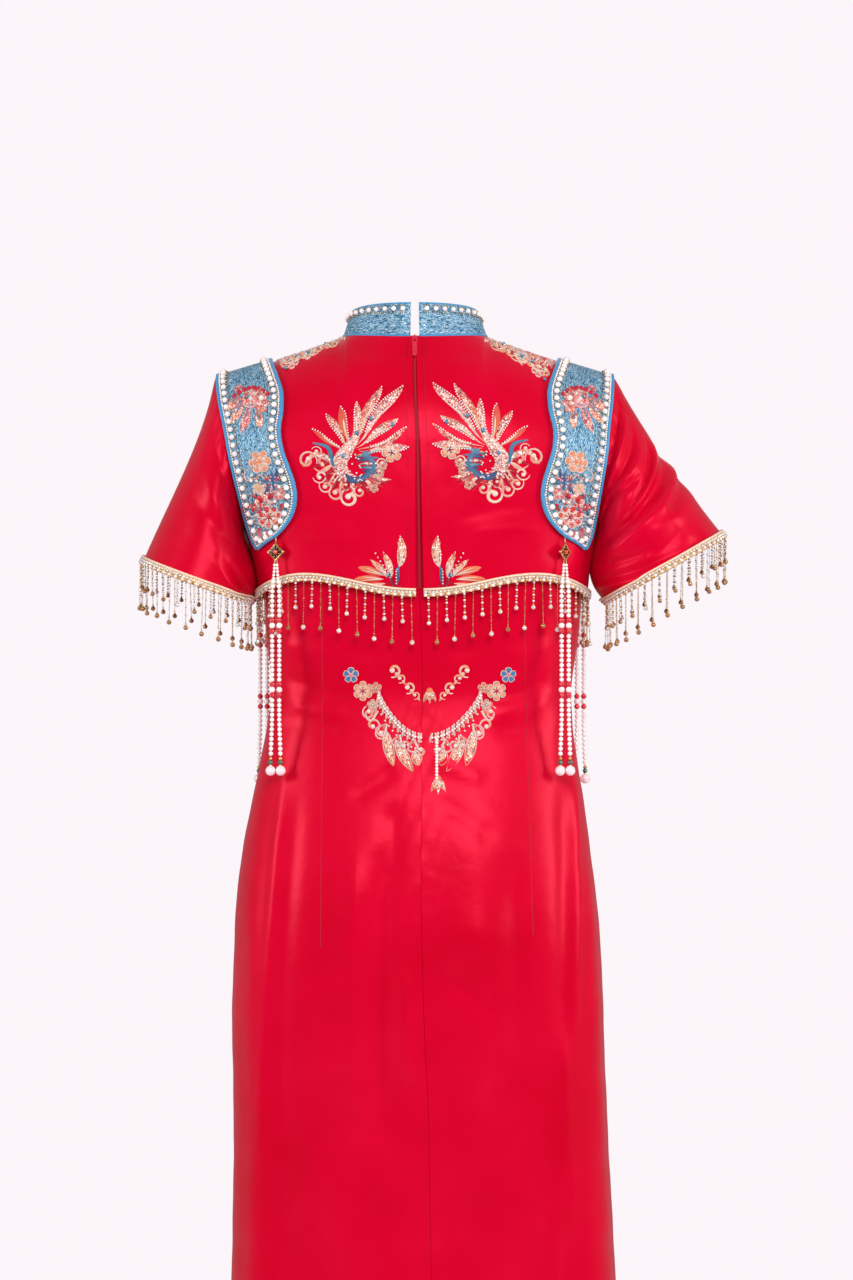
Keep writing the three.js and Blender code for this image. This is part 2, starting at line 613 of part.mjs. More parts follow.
// A braid laid along the edge of a cloth, whose hem and next row of points are given, and its fringe.
function fringePiece(name, hem, above, loop) {
  const count = hem.length;
  const frames = hem.map((point, i) => {
    const next = loop ? hem[(i + 1) % count] : hem[Math.min(i + 1, count - 1)];
    const last = loop ? hem[(i + count - 1) % count] : hem[Math.max(i - 1, 0)];
    const up = above[i].clone().sub(point).normalize();
    const out = next.clone().sub(last).cross(up).normalize();
    return { point, up, out };
  });
  const at = (rise, out) =>
    frames.map((f) => f.point.clone().addScaledVector(f.up, rise).addScaledVector(f.out, out));
  const near = TRIM.gap;
  const far = TRIM.gap + TRIM.thickness;
  const [low, high] = [-TRIM.overhang, TRIM.height];
  const strip = wall([at(low, far), at(high, far)], [at(low, near), at(high, near)], loop);
  const strands = spaced(at(low, (near + far) / 2), STRAND.pitch, loop).map((root, k) => {
    const ring = (drop, radius) => ({ centre: v3(root.x, root.y, root.z - drop), radius });
    if (k % 2 === 0) {
      return strand([ring(-STRAND.root, STRAND.shortRadius), ring(STRAND.short, STRAND.shortRadius)], 3);
    }
    return strand(
      [
        ring(-STRAND.root, STRAND.longRadius),
        ring(STRAND.long - STRAND.dropLength, STRAND.longRadius),
        ring(STRAND.long, STRAND.drop),
      ],
      3,
    );
  });
  return named(name, fused([strip, ...strands]), GOLD_BEADS);
}

function topFringe(name, face, side) {
  const slit = side ? { side, ...BACK_SLIT } : NO_SLIT;
  const outside = (x, z) => topLift(face, x, z) + WALL;
  const [hem, above] = skin(face, columnsFor(face, side), TOP_ROWS.slice(0, 2), outside, slit);
  return fringePiece(name, hem, above, false);
}

function sleeveFringe(sleeve) {
  const [above, hem] = sleeveSkin(sleeve).slice(-2);
  const order = (ring) => (sleeve.side > 0 ? ring : ring.reverse());
  return fringePiece(`fringe_sleeve_${sleeve.name}`, order(hem), order(above), true);
}

// ---- Tassels ----
function tasselPiece(t) {
  const { point } = onTop(t.face, t.side * t.across, t.z, LAPPET.gap + LAPPET.thickness / 2);
  const half = TASSEL.plaque / 2;
  const top = point.z - SEAM_GAP;
  const plaqueZ = top - TASSEL.cord - half;
  const x = point.x;
  const y = point.y + t.face * 3;
  const cord = strand(
    [
      { centre: v3(x, point.y, top), radius: TASSEL.cordHalf },
      { centre: v3(x, y, plaqueZ + half - 3), radius: TASSEL.cordHalf },
    ],
    4,
  );
  const diamond = new THREE.Shape();
  const corner = half * 0.42;
  diamond.moveTo(0, half).quadraticCurveTo(corner, corner, half, 0).quadraticCurveTo(corner, -corner, 0, -half);
  diamond.quadraticCurveTo(-corner, -corner, -half, 0).quadraticCurveTo(-corner, corner, 0, half);
  const plaque = new THREE.ExtrudeGeometry(diamond, {
    depth: TASSEL.plaqueThickness, bevelEnabled: false, curveSegments: 3,
  });
  plaque.translate(0, 0, -TASSEL.plaqueThickness / 2);
  plaque.rotateX(HALF_TURN);
  plaque.rotateZ(-radians(t.turn));
  plaque.translate(x, y, plaqueZ);
  const foot = plaqueZ - half;
  const strings = [-1, 1].map((way) => {
    const rings = STRING.map(({ along, half: wide }) => {
      const spread = along < 16
        ? lerp(TASSEL.rootApart, TASSEL.apart, smooth(along / 16))
        : lerp(TASSEL.apart, TASSEL.endApart, smooth((along - 150) / 55));
      return { centre: v3(x + way * spread, y, foot - along), radius: wide * Math.SQRT2 };
    });
    return strand(rings, 4, Math.PI / 4);
  });
  return named(`tassel_${t.name}`, fused([cord, plaque, ...strings]), PEARL_BEADS);
}

// ---- Centre-back zip ----
function zipChain() {
  const rows = 16;
  const skinAt = (out) =>
    Array.from({ length: rows + 1 }, (_, r) => {
      const z = lerp(ZIP.chainBottom, ZIP.chainTop, r / rows);
      return [1, -1].map((side) => {
        const place = formAt(1, 0, z);
        place.point.addScaledVector(place.normal, out);
        place.point.x += (side * ZIP.chainWidth) / 2;
        place.point.y += SEAM_GAP / 2;
        return place.point;
      });
    });
  return named("zip_chain", wall(skinAt(SEAM_GAP + 1.1), skinAt(SEAM_GAP)), RED_METAL);
}

function rod(width, height, length, x, y, z) {
  return new THREE.BoxGeometry(width, height, length).translate(x, y, z);
}

// The slider and its tab in a group whose +Y is the way out of the cloth and -Z runs down it.
function zipPull() {
  const seat = onTop(1, 0, ZIP.sliderZ, SEAM_GAP + 0.25);
  const group = new THREE.Group();
  group.rotation.x = radians(ZIP.tilt);
  group.position.copy(seat.point).addScaledVector(seat.normal, HINGE_HEIGHT);
  const low = -HINGE_HEIGHT;
  const plate = rod(SLIDER.width, SLIDER.thickness, SLIDER.length, 0, low + SLIDER.thickness / 2, 0);
  const tall = CROWN.high - SLIDER.thickness + 0.2;
  const legY = low + CROWN.high - tall / 2;
  const legs = [CROWN.top - CROWN.bar / 2, CROWN.bottom + CROWN.bar / 2].map((z) =>
    rod(CROWN.width, tall, CROWN.bar, 0, legY, z));
  const span = CROWN.top - CROWN.bottom;
  const bar = rod(CROWN.width, CROWN.bar, span, 0, low + CROWN.high - CROWN.bar / 2, (CROWN.top + CROWN.bottom) / 2);
  group.add(named("zip_slider", fused([plate, ...legs, bar]), RED_METAL));

  const half = TAB.width / 2;
  const outline = new THREE.Shape();
  outline.moveTo(-half, TAB.bar).lineTo(-half, -TAB.length + half);
  outline.absarc(0, -TAB.length + half, half, Math.PI, 2 * Math.PI, false);
  outline.lineTo(half, TAB.bar);
  const window = new THREE.Path();
  window.moveTo(-TAB.windowHalf, -TAB.bar).lineTo(TAB.windowHalf, -TAB.bar);
  window.lineTo(TAB.windowHalf, -TAB.window).lineTo(-TAB.windowHalf, -TAB.window);
  outline.holes.push(window);
  const tab = new THREE.ExtrudeGeometry(outline, { depth: TAB.thickness, bevelEnabled: false, curveSegments: 6 });
  tab.translate(0, 0, -TAB.thickness / 2);
  tab.rotateX(HALF_TURN);
  group.add(named("zip_tab", tab, RED_METAL));
  return group;
}

// ---- The garment ----
const dress = new THREE.Group();
dress.add(
  dressPanel("dress_back_left", 1, 1),
  dressPanel("dress_back_right", 1, -1),
  dressPanel("dress_front", -1, 0),
  topPanel("top_back_left", 1, 1),
  topPanel("top_back_right", 1, -1),
  topPanel("top_front", -1, 0),
  ...SLEEVES.map(sleevePiece),
  collarPiece(),
  lappetPiece("lappet_left", 1),
  lappetPiece("lappet_right", -1),
  topFringe("fringe_back_left", 1, 1),
  topFringe("fringe_back_right", 1, -1),
  topFringe("fringe_front", -1, 0),
  ...SLEEVES.map(sleeveFringe),
  ...TASSELS.map(tasselPiece),
  zipChain(),
  zipPull(),
);

export default dress;
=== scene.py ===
"""Looks for a red satin wedding dress worn under a cropped, fringed and embroidered top.

Lengths are in millimetres in the tables and turn to metres where a mesh is made. +Z is up, the
garment's back faces +Y, and the wearer's left is +X.
"""
import math
import random

import bpy
import numpy as np
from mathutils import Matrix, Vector


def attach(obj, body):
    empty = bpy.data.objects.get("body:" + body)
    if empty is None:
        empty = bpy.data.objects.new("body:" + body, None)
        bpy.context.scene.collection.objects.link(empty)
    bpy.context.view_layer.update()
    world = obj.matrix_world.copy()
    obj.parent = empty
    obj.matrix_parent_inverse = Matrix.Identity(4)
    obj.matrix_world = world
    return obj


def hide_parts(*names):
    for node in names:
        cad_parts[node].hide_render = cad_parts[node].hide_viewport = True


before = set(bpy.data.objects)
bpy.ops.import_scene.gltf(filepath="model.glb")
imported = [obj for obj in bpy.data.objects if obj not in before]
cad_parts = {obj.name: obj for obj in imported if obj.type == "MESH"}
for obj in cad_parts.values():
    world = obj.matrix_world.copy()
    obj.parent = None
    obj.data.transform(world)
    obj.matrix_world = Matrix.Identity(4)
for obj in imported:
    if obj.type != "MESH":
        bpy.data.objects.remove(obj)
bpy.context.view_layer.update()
random.seed(11)
MM = 0.001
SIDES = {1: "left", -1: "right"}
FACES = {1: "back", -1: "front"}

# ---------------------------------------------------------------- the worn form
SATIN = 1.5  # the wall that the cloth's outside stands on
SEAM_GAP = 0.3
SQUARENESS = 2.6
TO_SIDE = math.pi / 2  # the turn from the middle to the side
NECK = dict(half_width=72, back=60, front=64, back_drop=5, front_drop=48)
SHOULDER = dict(half_width=205, drop=44, bow=0.85, rounding=110)
ARMHOLE = dict(bottom=-195, curve=1.2)
DRESS_HEM = -1300
TOP_HEM = dict(centre=-268, hump=16, hump_place=0.8)
TOP_LIFT = dict(neck=0.3, hem=4, over=200)
BACK_SLIT = dict(neck=3.2, hem=8)
LAPPET = dict(gap=1.4, thickness=2.4)

# z, centre, back seam, half width, back, front
SECTIONS = np.array([
    (40, 0, 0, 214, 97, 92),
    (-48, 0, 0, 214, 98, 98),
    (-90, -1.5, 0, 210, 99, 104),
    (-120, -3, 0, 206, 100, 112),
    (-156, -4.5, 1, 192, 99, 122),
    (-195, -6, 2, 177, 97, 131),
    (-230, -7.5, 3, 169, 94, 133),
    (-262, -8, 3, 164, 91, 127),
    (-311, -7.5, 1, 160, 85, 115),
    (-362, -6.7, -1, 154, 81, 105),
    (-399, -5, -2, 157, 85, 103),
    (-430, -4, -3, 162, 91, 105),
    (-476, -3, -4, 170, 101, 109),
    (-523, -1.5, -5, 178, 111, 112),
    (-572, -1.5, -5, 184, 118, 114),
    (-626, -2.5, -5, 188, 120, 116),
    (-708, -3, -7, 190.5, 117, 118),
    (-777, -5, -8.5, 191, 114, 119),
    (-862, -7, -8, 193, 113, 121),
    (-970, -8.8, -8, 197, 114, 124),
    (-1100, -9, -8, 202, 116, 128),
    (-1200, -9, -8, 206, 118, 131),
    (-1300, -9, -8, 210, 120, 134),
], dtype=float)

# The skirt's soft folds: degrees round from the centre back, lean, top, full, width, depth
SKIRT_FOLDS = [
    (62, -8, -430, -700, 9, 4.5),
    (40, 3, -620, -980, 8, -4),
    (22, 2, -760, -1180, 9, 4),
    (-30, -4, -700, -1060, 9, -4),
    (-48, -6, -560, -1000, 8, 5),
    (-68, 4, -440, -640, 9, 4),
    (106, 3, -520, -900, 9, -4),
    (128, 6, -420, -860, 9, 5),
    (152, -3, -640, -1120, 9, -4.5),
    (176, 5, -560, -940, 9, 4),
    (204, -4, -700, -1100, 9, -4),
    (230, -5, -440, -820, 9, 5),
    (254, 2, -560, -960, 8, -4),
]


def smooth(t):
    t = np.clip(t, 0, 1)
    return t * t * (3 - 2 * t)


def lerp(a, b, t):
    return a + (b - a) * t


def bell(t):
    return np.exp(-t * t)


def unit(vectors):
    return vectors / np.linalg.norm(vectors, axis=-1, keepdims=True)


def _slopes():
    last = len(SECTIONS) - 1
    before = SECTIONS[np.maximum(np.arange(last + 1) - 1, 0)]
    after = SECTIONS[np.minimum(np.arange(last + 1) + 1, last)]
    return (after - before) / (after[:, :1] - before[:, :1])


SLOPES = _slopes()


def section_at(z):
    """Smoothly interpolated (centre, seam, half width, back, front) at a height."""
    z = np.asarray(z, dtype=float)
    i = np.clip(np.searchsorted(-SECTIONS[:, 0], -z, side="right") - 1, 0, len(SECTIONS) - 2)
    span = SECTIONS[i + 1, 0] - SECTIONS[i, 0]
    t = np.clip((z - SECTIONS[i, 0]) / span, 0, 1)[..., None]
    span = span[..., None]
    value = (
        (2 * t**3 - 3 * t * t + 1) * SECTIONS[i]
        + (t**3 - 2 * t * t + t) * SLOPES[i] * span
        + (3 * t * t - 2 * t**3) * SECTIONS[i + 1]
        + (t**3 - t * t) * SLOPES[i + 1] * span
    )
    return [value[..., k] for k in range(1, 6)]


def top_line(face, x):
    """The height of the shoulder line, and of the neckline between the neck points."""
    x = np.abs(x)
    along = np.clip((x - NECK["half_width"]) / (SHOULDER["half_width"] - NECK["half_width"]), 0, None)
    inside = np.clip(1 - (x / NECK["half_width"]) ** 2, 0, 1)
    neck = np.where(face > 0, -NECK["back_drop"] * inside, -NECK["front_drop"] * inside**0.75)
    return np.where(x >= NECK["half_width"], -SHOULDER["drop"] * along ** SHOULDER["bow"], neck)


def neck_depth(face, x):
    inside = np.clip(1 - (x / NECK["half_width"]) ** 2, 0, 1)
    return np.where(face > 0, NECK["back"], NECK["front"]) * np.sqrt(inside)


def depth_power(face, x, z, neck_x=None):
    _, _, half_width, back, front = section_at(z)
    deepest = np.where(face > 0, back, front)
    inside = 1 - (np.abs(x) / half_width) ** SQUARENESS
    below = np.clip((top_line(face, x) - z) / SHOULDER["rounding"], 0, 1)
    power = lerp(1, 0.5, smooth((np.abs(x) / NECK["half_width"] - 0.6) / 0.7))
    grown = (1 - (1 - below) ** 2) ** power
    neck = neck_depth(face, x if neck_x is None else neck_x)
    flat = deepest**SQUARENESS * inside * grown**SQUARENESS
    full = deepest * np.clip(inside, 0, 1) ** (1 / SQUARENESS)
    raised = np.clip(lerp(neck, full, grown), 0, None) ** SQUARENESS
    return np.where((neck <= 0) | (inside <= 0), flat, raised)


def form_at(face, x, z):
    """Points on the form and their outward normals, for x from the section's centre."""
    x, z = np.broadcast_arrays(np.asarray(x, float), np.asarray(z, float))
    centre, seam, half_width, _, _ = section_at(z)
    depth = np.clip(depth_power(face, x, z), 0, None) ** (1 / SQUARENESS)
    step = 0.5
    across = depth_power(face, x + step, z, x) - depth_power(face, x - step, z, x)
    upward = depth_power(face, x, z + step, x) - depth_power(face, x, z - step, x)
    away = (depth + step) ** SQUARENESS - np.clip(depth - step, 0, None) ** SQUARENESS
    normal = unit(np.stack([-across, away * face, -upward], axis=-1))
    shift = np.where(face > 0, seam * (1 - (x / half_width) ** 2), 0)
    return np.stack([centre + shift + x, face * depth, z], axis=-1), normal


def from_middle(face, place, z):
    """A place across the garment, turned to a distance from its section's centre."""
    centre, seam, half_width, _, _ = section_at(z)
    x = place - centre
    for _ in range(3):
        x = place - centre - np.where(face > 0, seam * (1 - (x / half_width) ** 2), 0)
    return x


def across_at(turn):
    return np.sign(turn) * np.abs(np.sin(turn)) ** (2 / SQUARENESS)


def turn_at(x, z):
    half_width = section_at(z)[2]
    return np.arcsin(np.clip(np.abs(x) / half_width, 0, 1) ** (SQUARENESS / 2)) * np.sign(x)


def skirt_fold(face, turn, z):
    around = np.degrees(np.where(face > 0, turn, math.pi - turn))
    push = np.zeros_like(around + z)
    for place, lean, top, full, width, depth in SKIRT_FOLDS:
        down = smooth((top - z) / (top - full))
        off = around - place - lean * down
        off = off - 360 * np.round(off / 360)
        push = push + depth * down * bell(off / width)
    return push


def top_lift(face, x, z):
    return lerp(TOP_LIFT["neck"], TOP_LIFT["hem"], smooth((top_line(face, x) - z) / TOP_LIFT["over"]))


def on_dress(face, place, z, out=0.0):
    """A point on the dress's outside, for a place across the garment, and its normal."""
    place, z = np.broadcast_arrays(np.asarray(place, float), np.asarray(z, float))
    x = from_middle(face, place, z)
    point, normal = form_at(face, x, z)
    push = skirt_fold(face, turn_at(x, z), z) + out
    return point + normal * np.asarray(push)[..., None], normal


def on_top(face, x, z, out=0.0):
    """The same on the top's outside, for a distance from the middle."""
    point, normal = form_at(face, x, z)
    push = top_lift(face, np.asarray(x, float), np.asarray(z, float)) + SATIN + out
    return point + normal * np.asarray(push)[..., None], normal


# ---------------------------------------------------------------- meshes
GARMENT = "garment"


def grid_faces(rows, columns, loop=False):
    r, c = np.meshgrid(np.arange(rows - 1), np.arange(columns if loop else columns - 1), indexing="ij")
    after = (c + 1) % columns
    quads = [r * columns + c, r * columns + after, (r + 1) * columns + after, (r + 1) * columns + c]
    return np.stack([q.ravel() for q in quads], axis=1)


def make_piece(name, points, faces, materials, stands_for=(), uv=None, dye=None, kinds=None):
    """A smooth mesh object that rides on the garment, from points in millimetres."""
    mesh = bpy.data.meshes.new(name)
    points = np.asarray(points, float).reshape(-1, 3) * MM
    mesh.from_pydata(points.tolist(), [], [list(map(int, f)) for f in faces])
    mesh.shade_smooth()
    piece = bpy.data.objects.new(name, mesh)
    bpy.context.collection.objects.link(piece)
    for material in materials:
        mesh.materials.append(material)
    corners = np.empty(len(mesh.loops), dtype=np.int32)
    mesh.loops.foreach_get("vertex_index", corners)
    if uv is not None:
        layer = mesh.uv_layers.new(name="thread")
        layer.data.foreach_set("uv", np.asarray(uv, np.float32)[corners].ravel())
    if dye is not None:
        colours = mesh.color_attributes.new("dye", "FLOAT_COLOR", "POINT")
        rgba = np.concatenate([dye, np.ones((len(dye), 1))], axis=1)
        colours.data.foreach_set("color", rgba.astype(np.float32).ravel())
    if kinds is not None:
        mesh.polygons.foreach_set("material_index", np.asarray(kinds, np.int32))
    mesh.update()
    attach(piece, GARMENT)
    if stands_for:
        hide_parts(*stands_for)
    return piece


def add_thickness(piece, millimetres):
    """Gives cloth its thickness and keeps its cut edge crisp."""
    used = np.empty(len(piece.data.loops), dtype=np.int32)
    piece.data.loops.foreach_get("edge_index", used)
    rim = np.bincount(used, minlength=len(piece.data.edges)) == 1
    piece.data.edges.foreach_set("use_edge_sharp", rim)
    wall = piece.modifiers.new("cloth thickness", "SOLIDIFY")
    wall.thickness = millimetres * MM
    wall.offset = -1
    wall.use_even_offset = False


def bead_shape(around=8, levels=5):
    """A unit bead, its poles up and down."""
    points = [(0, 0, 1)]
    for k in range(1, levels):
        tilt = math.pi * k / levels
        for j in range(around):
            a = 2 * math.pi * j / around
            points.append((math.sin(tilt) * math.cos(a), math.sin(tilt) * math.sin(a), math.cos(tilt)))
    points.append((0, 0, -1))
    faces = [(0, 1 + j, 1 + (j + 1) % around) for j in range(around)]
    for k in range(levels - 2):
        low, high = 1 + k * around, 1 + (k + 1) * around
        for j in range(around):
            after = (j + 1) % around
            faces.append((low + j, high + j, high + after, low + after))
    end = 1 + (levels - 1) * around
    faces += [(end, end - around + (j + 1) % around, end - around + j) for j in range(around)]
    return np.array(points), faces


SEED = bead_shape(5, 3)
ROUND = bead_shape(10, 7)


def beads(name, centres, radii, material, finish="gold_beadwork", shape=bead_shape(), stands_for=()):
    """Many beads in one piece, of one radius or of one each."""
    unit_bead, unit_faces = shape
    centres = np.asarray(centres, float).reshape(-1, 3)
    radii = np.broadcast_to(radii, (len(centres),))
    points = unit_bead[None] * radii[:, None, None] + centres[:, None]
    faces = [[v + k * len(unit_bead) for v in f] for k in range(len(centres)) for f in unit_faces]
    return make_piece(name, points, faces, [material], stands_for)


def tube_rings(path, radius, sides=6):
    """Rings of points round a path, as an array [ring][side]."""
    path = np.asarray(path, float)
    along = unit(np.gradient(path, axis=0))
    aside = np.cross(along, (0.13, 0.29, 0.95))
    small = np.linalg.norm(aside, axis=1, keepdims=True) < 0.1
    aside = unit(np.where(small, np.cross(along, (1.0, 0.2, 0.0)), aside))
    up = np.cross(along, aside)
    a = 2 * math.pi * np.arange(sides) / sides
    radius = np.broadcast_to(np.asarray(radius, float), (len(path),))
    ring = aside[:, None] * np.cos(a)[None, :, None] + up[:, None] * np.sin(a)[None, :, None]
    return path[:, None] + ring * radius[:, None, None]


def cords(name, paths, radius, material, sides=6):
    """Round cords along several paths in one piece."""
    points, faces, start = [], [], 0
    for path in paths:
        rings = tube_rings(path, radius, sides)
        count = len(rings)
        points.append(rings.reshape(-1, 3))
        faces += (grid_faces(count, sides, True)[:, ::-1] + start).tolist()
        faces.append([start + k for k in range(sides)])
        faces.append([start + count * sides - 1 - k for k in range(sides)])
        start += count * sides
    return make_piece(name, np.concatenate(points), faces, [material], ())


def spaced(path, pitch, loop=False, start=0.5):
    """Places at equal steps along a path."""
    path = np.asarray(path, float)
    if loop:
        path = np.concatenate([path, path[:1]])
    lengths = np.concatenate([[0], np.cumsum(np.linalg.norm(np.diff(path, axis=0), axis=1))])
    count = max(1, int(lengths[-1] / pitch))
    goals = lengths[-1] * (np.arange(count) + start) / count
    return np.stack([np.interp(goals, lengths, path[:, k]) for k in range(path.shape[1])], axis=1)


# ---------------------------------------------------------------- materials
def rgba(hex_code):
    """An sRGB hex colour as linear red, green, blue and full opacity."""
    parts = [int(hex_code[i:i + 2], 16) / 255 for i in (1, 3, 5)]
    return (*(p / 12.92 if p <= 0.04045 else ((p + 0.055) / 1.055) ** 2.4 for p in parts), 1.0)


def per_metre(millimetres):
    """The scale of a pattern that repeats at this distance, on coordinates in metres."""
    return 1000 / millimetres


def link(tree, node, sources):
    for key, source in sources.items():
        tree.links.new(source, node.inputs[key])


def add(tree, kind, settings=None, sources=None):
    """Adds one shader node, sets its values, ramp stops and sockets, and links its inputs."""
    node = tree.nodes.new(kind)
    for key, value in (settings or {}).items():
        if key == "stops":
            while len(node.color_ramp.elements) < len(value):
                node.color_ramp.elements.new(0.5)
            for element, (place, code) in zip(node.color_ramp.elements, value):
                element.position = place
                element.color = rgba(code)
        elif isinstance(key, str) and hasattr(node, key):
            setattr(node, key, value)
        else:
            node.inputs[key].default_value = value
    link(tree, node, sources or {})
    return node


def start_material(name, settings):
    material = bpy.data.materials.new(name)
    material.use_nodes = True
    tree = material.node_tree
    shader = tree.nodes["Principled BSDF"]
    for key, value in settings.items():
        shader.inputs[key].default_value = value
    return material, tree, shader


def satin_weave():
    """Polyester satin, woven with long floating threads: a smooth face with broad soft highlights, a
    faint grain along the warp and slight slubs. Threads 0.12 mm apart are too fine to show, so the
    grain is drawn at 0.8 mm."""
    material, tree, shader = start_material("red_satin_weave", {
        "Roughness": 0.32, "Specular IOR Level": 0.6, "Specular Tint": rgba("#ff4c68"),
        "Anisotropic": 0.35, "Sheen Weight": 0.06, "Sheen Roughness": 0.35, "Sheen Tint": rgba("#ff4a66"),
    })
    where = add(tree, "ShaderNodeTexCoord").outputs["Object"]
    stretched = add(tree, "ShaderNodeMapping", {"Scale": (1.0, 1.0, 0.06)}, {"Vector": where})
    grain = add(tree, "ShaderNodeTexNoise", {"Scale": per_metre(0.8), "Detail": 2.0},
                {"Vector": stretched.outputs["Vector"]})
    slub = add(tree, "ShaderNodeTexNoise", {"Scale": per_metre(111), "Detail": 3.0, "Roughness": 0.55},
               {"Vector": where})
    tone = add(tree, "ShaderNodeValToRGB", {"stops": [(0.3, "#c60022"), (0.5, "#ce0028"), (0.72, "#d4042e")]},
               {"Fac": slub.outputs["Fac"]})
    rough = add(tree, "ShaderNodeMapRange", {"To Min": 0.27, "To Max": 0.36}, {"Value": grain.outputs["Fac"]})
    ripple = add(tree, "ShaderNodeTexNoise", {"Scale": per_metre(38.5), "Detail": 3.0}, {"Vector": where})
    soft = add(tree, "ShaderNodeBump", {"Strength": 0.4, "Distance": 2.2 * MM},
               {"Height": ripple.outputs["Fac"]})
    fine = add(tree, "ShaderNodeBump", {"Strength": 0.1, "Distance": 0.2 * MM},
               {"Height": grain.outputs["Fac"], "Normal": soft.outputs["Normal"]})
    link(tree, shader, {"Base Color": tone.outputs["Color"], "Roughness": rough.outputs["Result"],
                        "Normal": fine.outputs["Normal"]})
    return material


def lame_brocade():
    """Jacquard brocade woven with metallised film: blue silk ground with broken silver, grey and dark
    floats lying along the cloth. Real floats are too fine to show, so each is drawn about 1.7 mm
    wide and 6.7 mm long."""
    material, tree, shader = start_material("lame_brocade", {
        "Metallic": 0.25, "Roughness": 0.5, "Specular IOR Level": 0.45,
    })
    where = add(tree, "ShaderNodeUVMap", {"uv_map": "thread"}).outputs["UV"]
    along = add(tree, "ShaderNodeMapping", {"Scale": (1 / 6.667, 1 / 1.724, 1.0)}, {"Vector": where})
    floats = add(tree, "ShaderNodeTexNoise",
                 {"Scale": 1.0, "Detail": 2.0, "Roughness": 0.6, "Distortion": 1.2},
                 {"Vector": along.outputs["Vector"]})
    cloud = add(tree, "ShaderNodeTexNoise", {"Scale": 1 / 7.143, "Detail": 2.0}, {"Vector": where})
    ground = add(tree, "ShaderNodeValToRGB",
                 {"stops": [(0.34, "#1c6f9e"), (0.47, "#3a9bc6"), (0.58, "#6cb8d0"), (0.7, "#267faf")]},
                 {"Fac": cloud.outputs["Fac"]})
    film = add(tree, "ShaderNodeValToRGB", {"stops": [
        (0.42, "#0d3a58"), (0.465, "#2b9ac9"), (0.51, "#f6fdff"), (0.54, "#7f9697"), (0.585, "#1c6f9e"),
    ]}, {"Fac": floats.outputs["Fac"]})
    mixed = add(tree, "ShaderNodeMix", {"data_type": "RGBA", "blend_type": "MIX", 0: 0.82},
                {6: ground.outputs["Color"], 7: film.outputs["Color"]})
    relief = add(tree, "ShaderNodeBump", {"Strength": 0.8, "Distance": 0.7 * MM},
                 {"Height": floats.outputs["Fac"]})
    link(tree, shader, {"Base Color": mixed.outputs[2], "Normal": relief.outputs["Normal"]})
    return material


def cut_crystal(name, code):
    """Foiled lead glass, cut in facets about 1.4 mm across: pale, very glossy, with a bright back. Each
    facet is tinted and darkened at random, as painted light and shade on the cuts.
    """
    material, tree, shader = start_material(name, {
        "Metallic": 0.3, "Roughness": 0.08, "Coat Weight": 1.0, "Coat Roughness": 0.03,
    })
    where = add(tree, "ShaderNodeTexCoord").outputs["Object"]
    facet = add(tree, "ShaderNodeTexVoronoi", {"Scale": per_metre(1.4286)}, {"Vector": where})
    # painted light and shade: each facet gets its own random tint and darkening, as if lit differently
    shade = add(tree, "ShaderNodeMix",
                {"data_type": "RGBA", "blend_type": "MULTIPLY", 0: 0.35, 6: rgba(code)},
                {7: facet.outputs["Color"]})
    bump = add(tree, "ShaderNodeBump", {"Strength": 0.5, "Distance": 0.4 * MM},
               {"Height": facet.outputs["Distance"]})
    link(tree, shader, {"Base Color": shade.outputs[2], "Normal": bump.outputs["Normal"]})
    return material


def silk_stitch():
    """Satin stitch in rayon floss: each petal's own dye, with threads lying side by side 0.7 mm apart
    (finer in life) that catch the light in turn, drawn as painted highlights on the threads and painted shade
    between them."""
    material, tree, shader = start_material("rayon_satin_stitch", {
        "Roughness": 0.42, "Sheen Weight": 0.25, "Sheen Roughness": 0.3, "Specular IOR Level": 0.45,
    })
    dye = add(tree, "ShaderNodeVertexColor", {"layer_name": "dye"})
    where = add(tree, "ShaderNodeUVMap", {"uv_map": "thread"})
    # a wave of scale 1 repeats every 0.314, which makes this one 0.7 mm
    threads = add(tree, "ShaderNodeTexWave",
                  {"Scale": 0.45, "Distortion": 1.2, "Detail": 1.0, "Detail Scale": 1.5},
                  {"Vector": where.outputs["UV"]})
    # painted light and shade: each thread lighter along its top and darker between threads, multiplied into
    # the dye below
    shade = add(tree, "ShaderNodeValToRGB",
                {"stops": [(0.15, "#c39c92"), (0.4, "#f4ebe8"), (0.7, "#ffffff")]},
                {"Fac": threads.outputs["Fac"]})
    dyed = add(tree, "ShaderNodeMix", {"data_type": "RGBA", "blend_type": "MULTIPLY", 0: 0.75},
               {6: dye.outputs["Color"], 7: shade.outputs["Color"]})
    relief = add(tree, "ShaderNodeBump", {"Strength": 0.7, "Distance": 0.4 * MM},
                 {"Height": threads.outputs["Fac"]})
    link(tree, shader, {"Base Color": dyed.outputs[2], "Normal": relief.outputs["Normal"]})
    return material


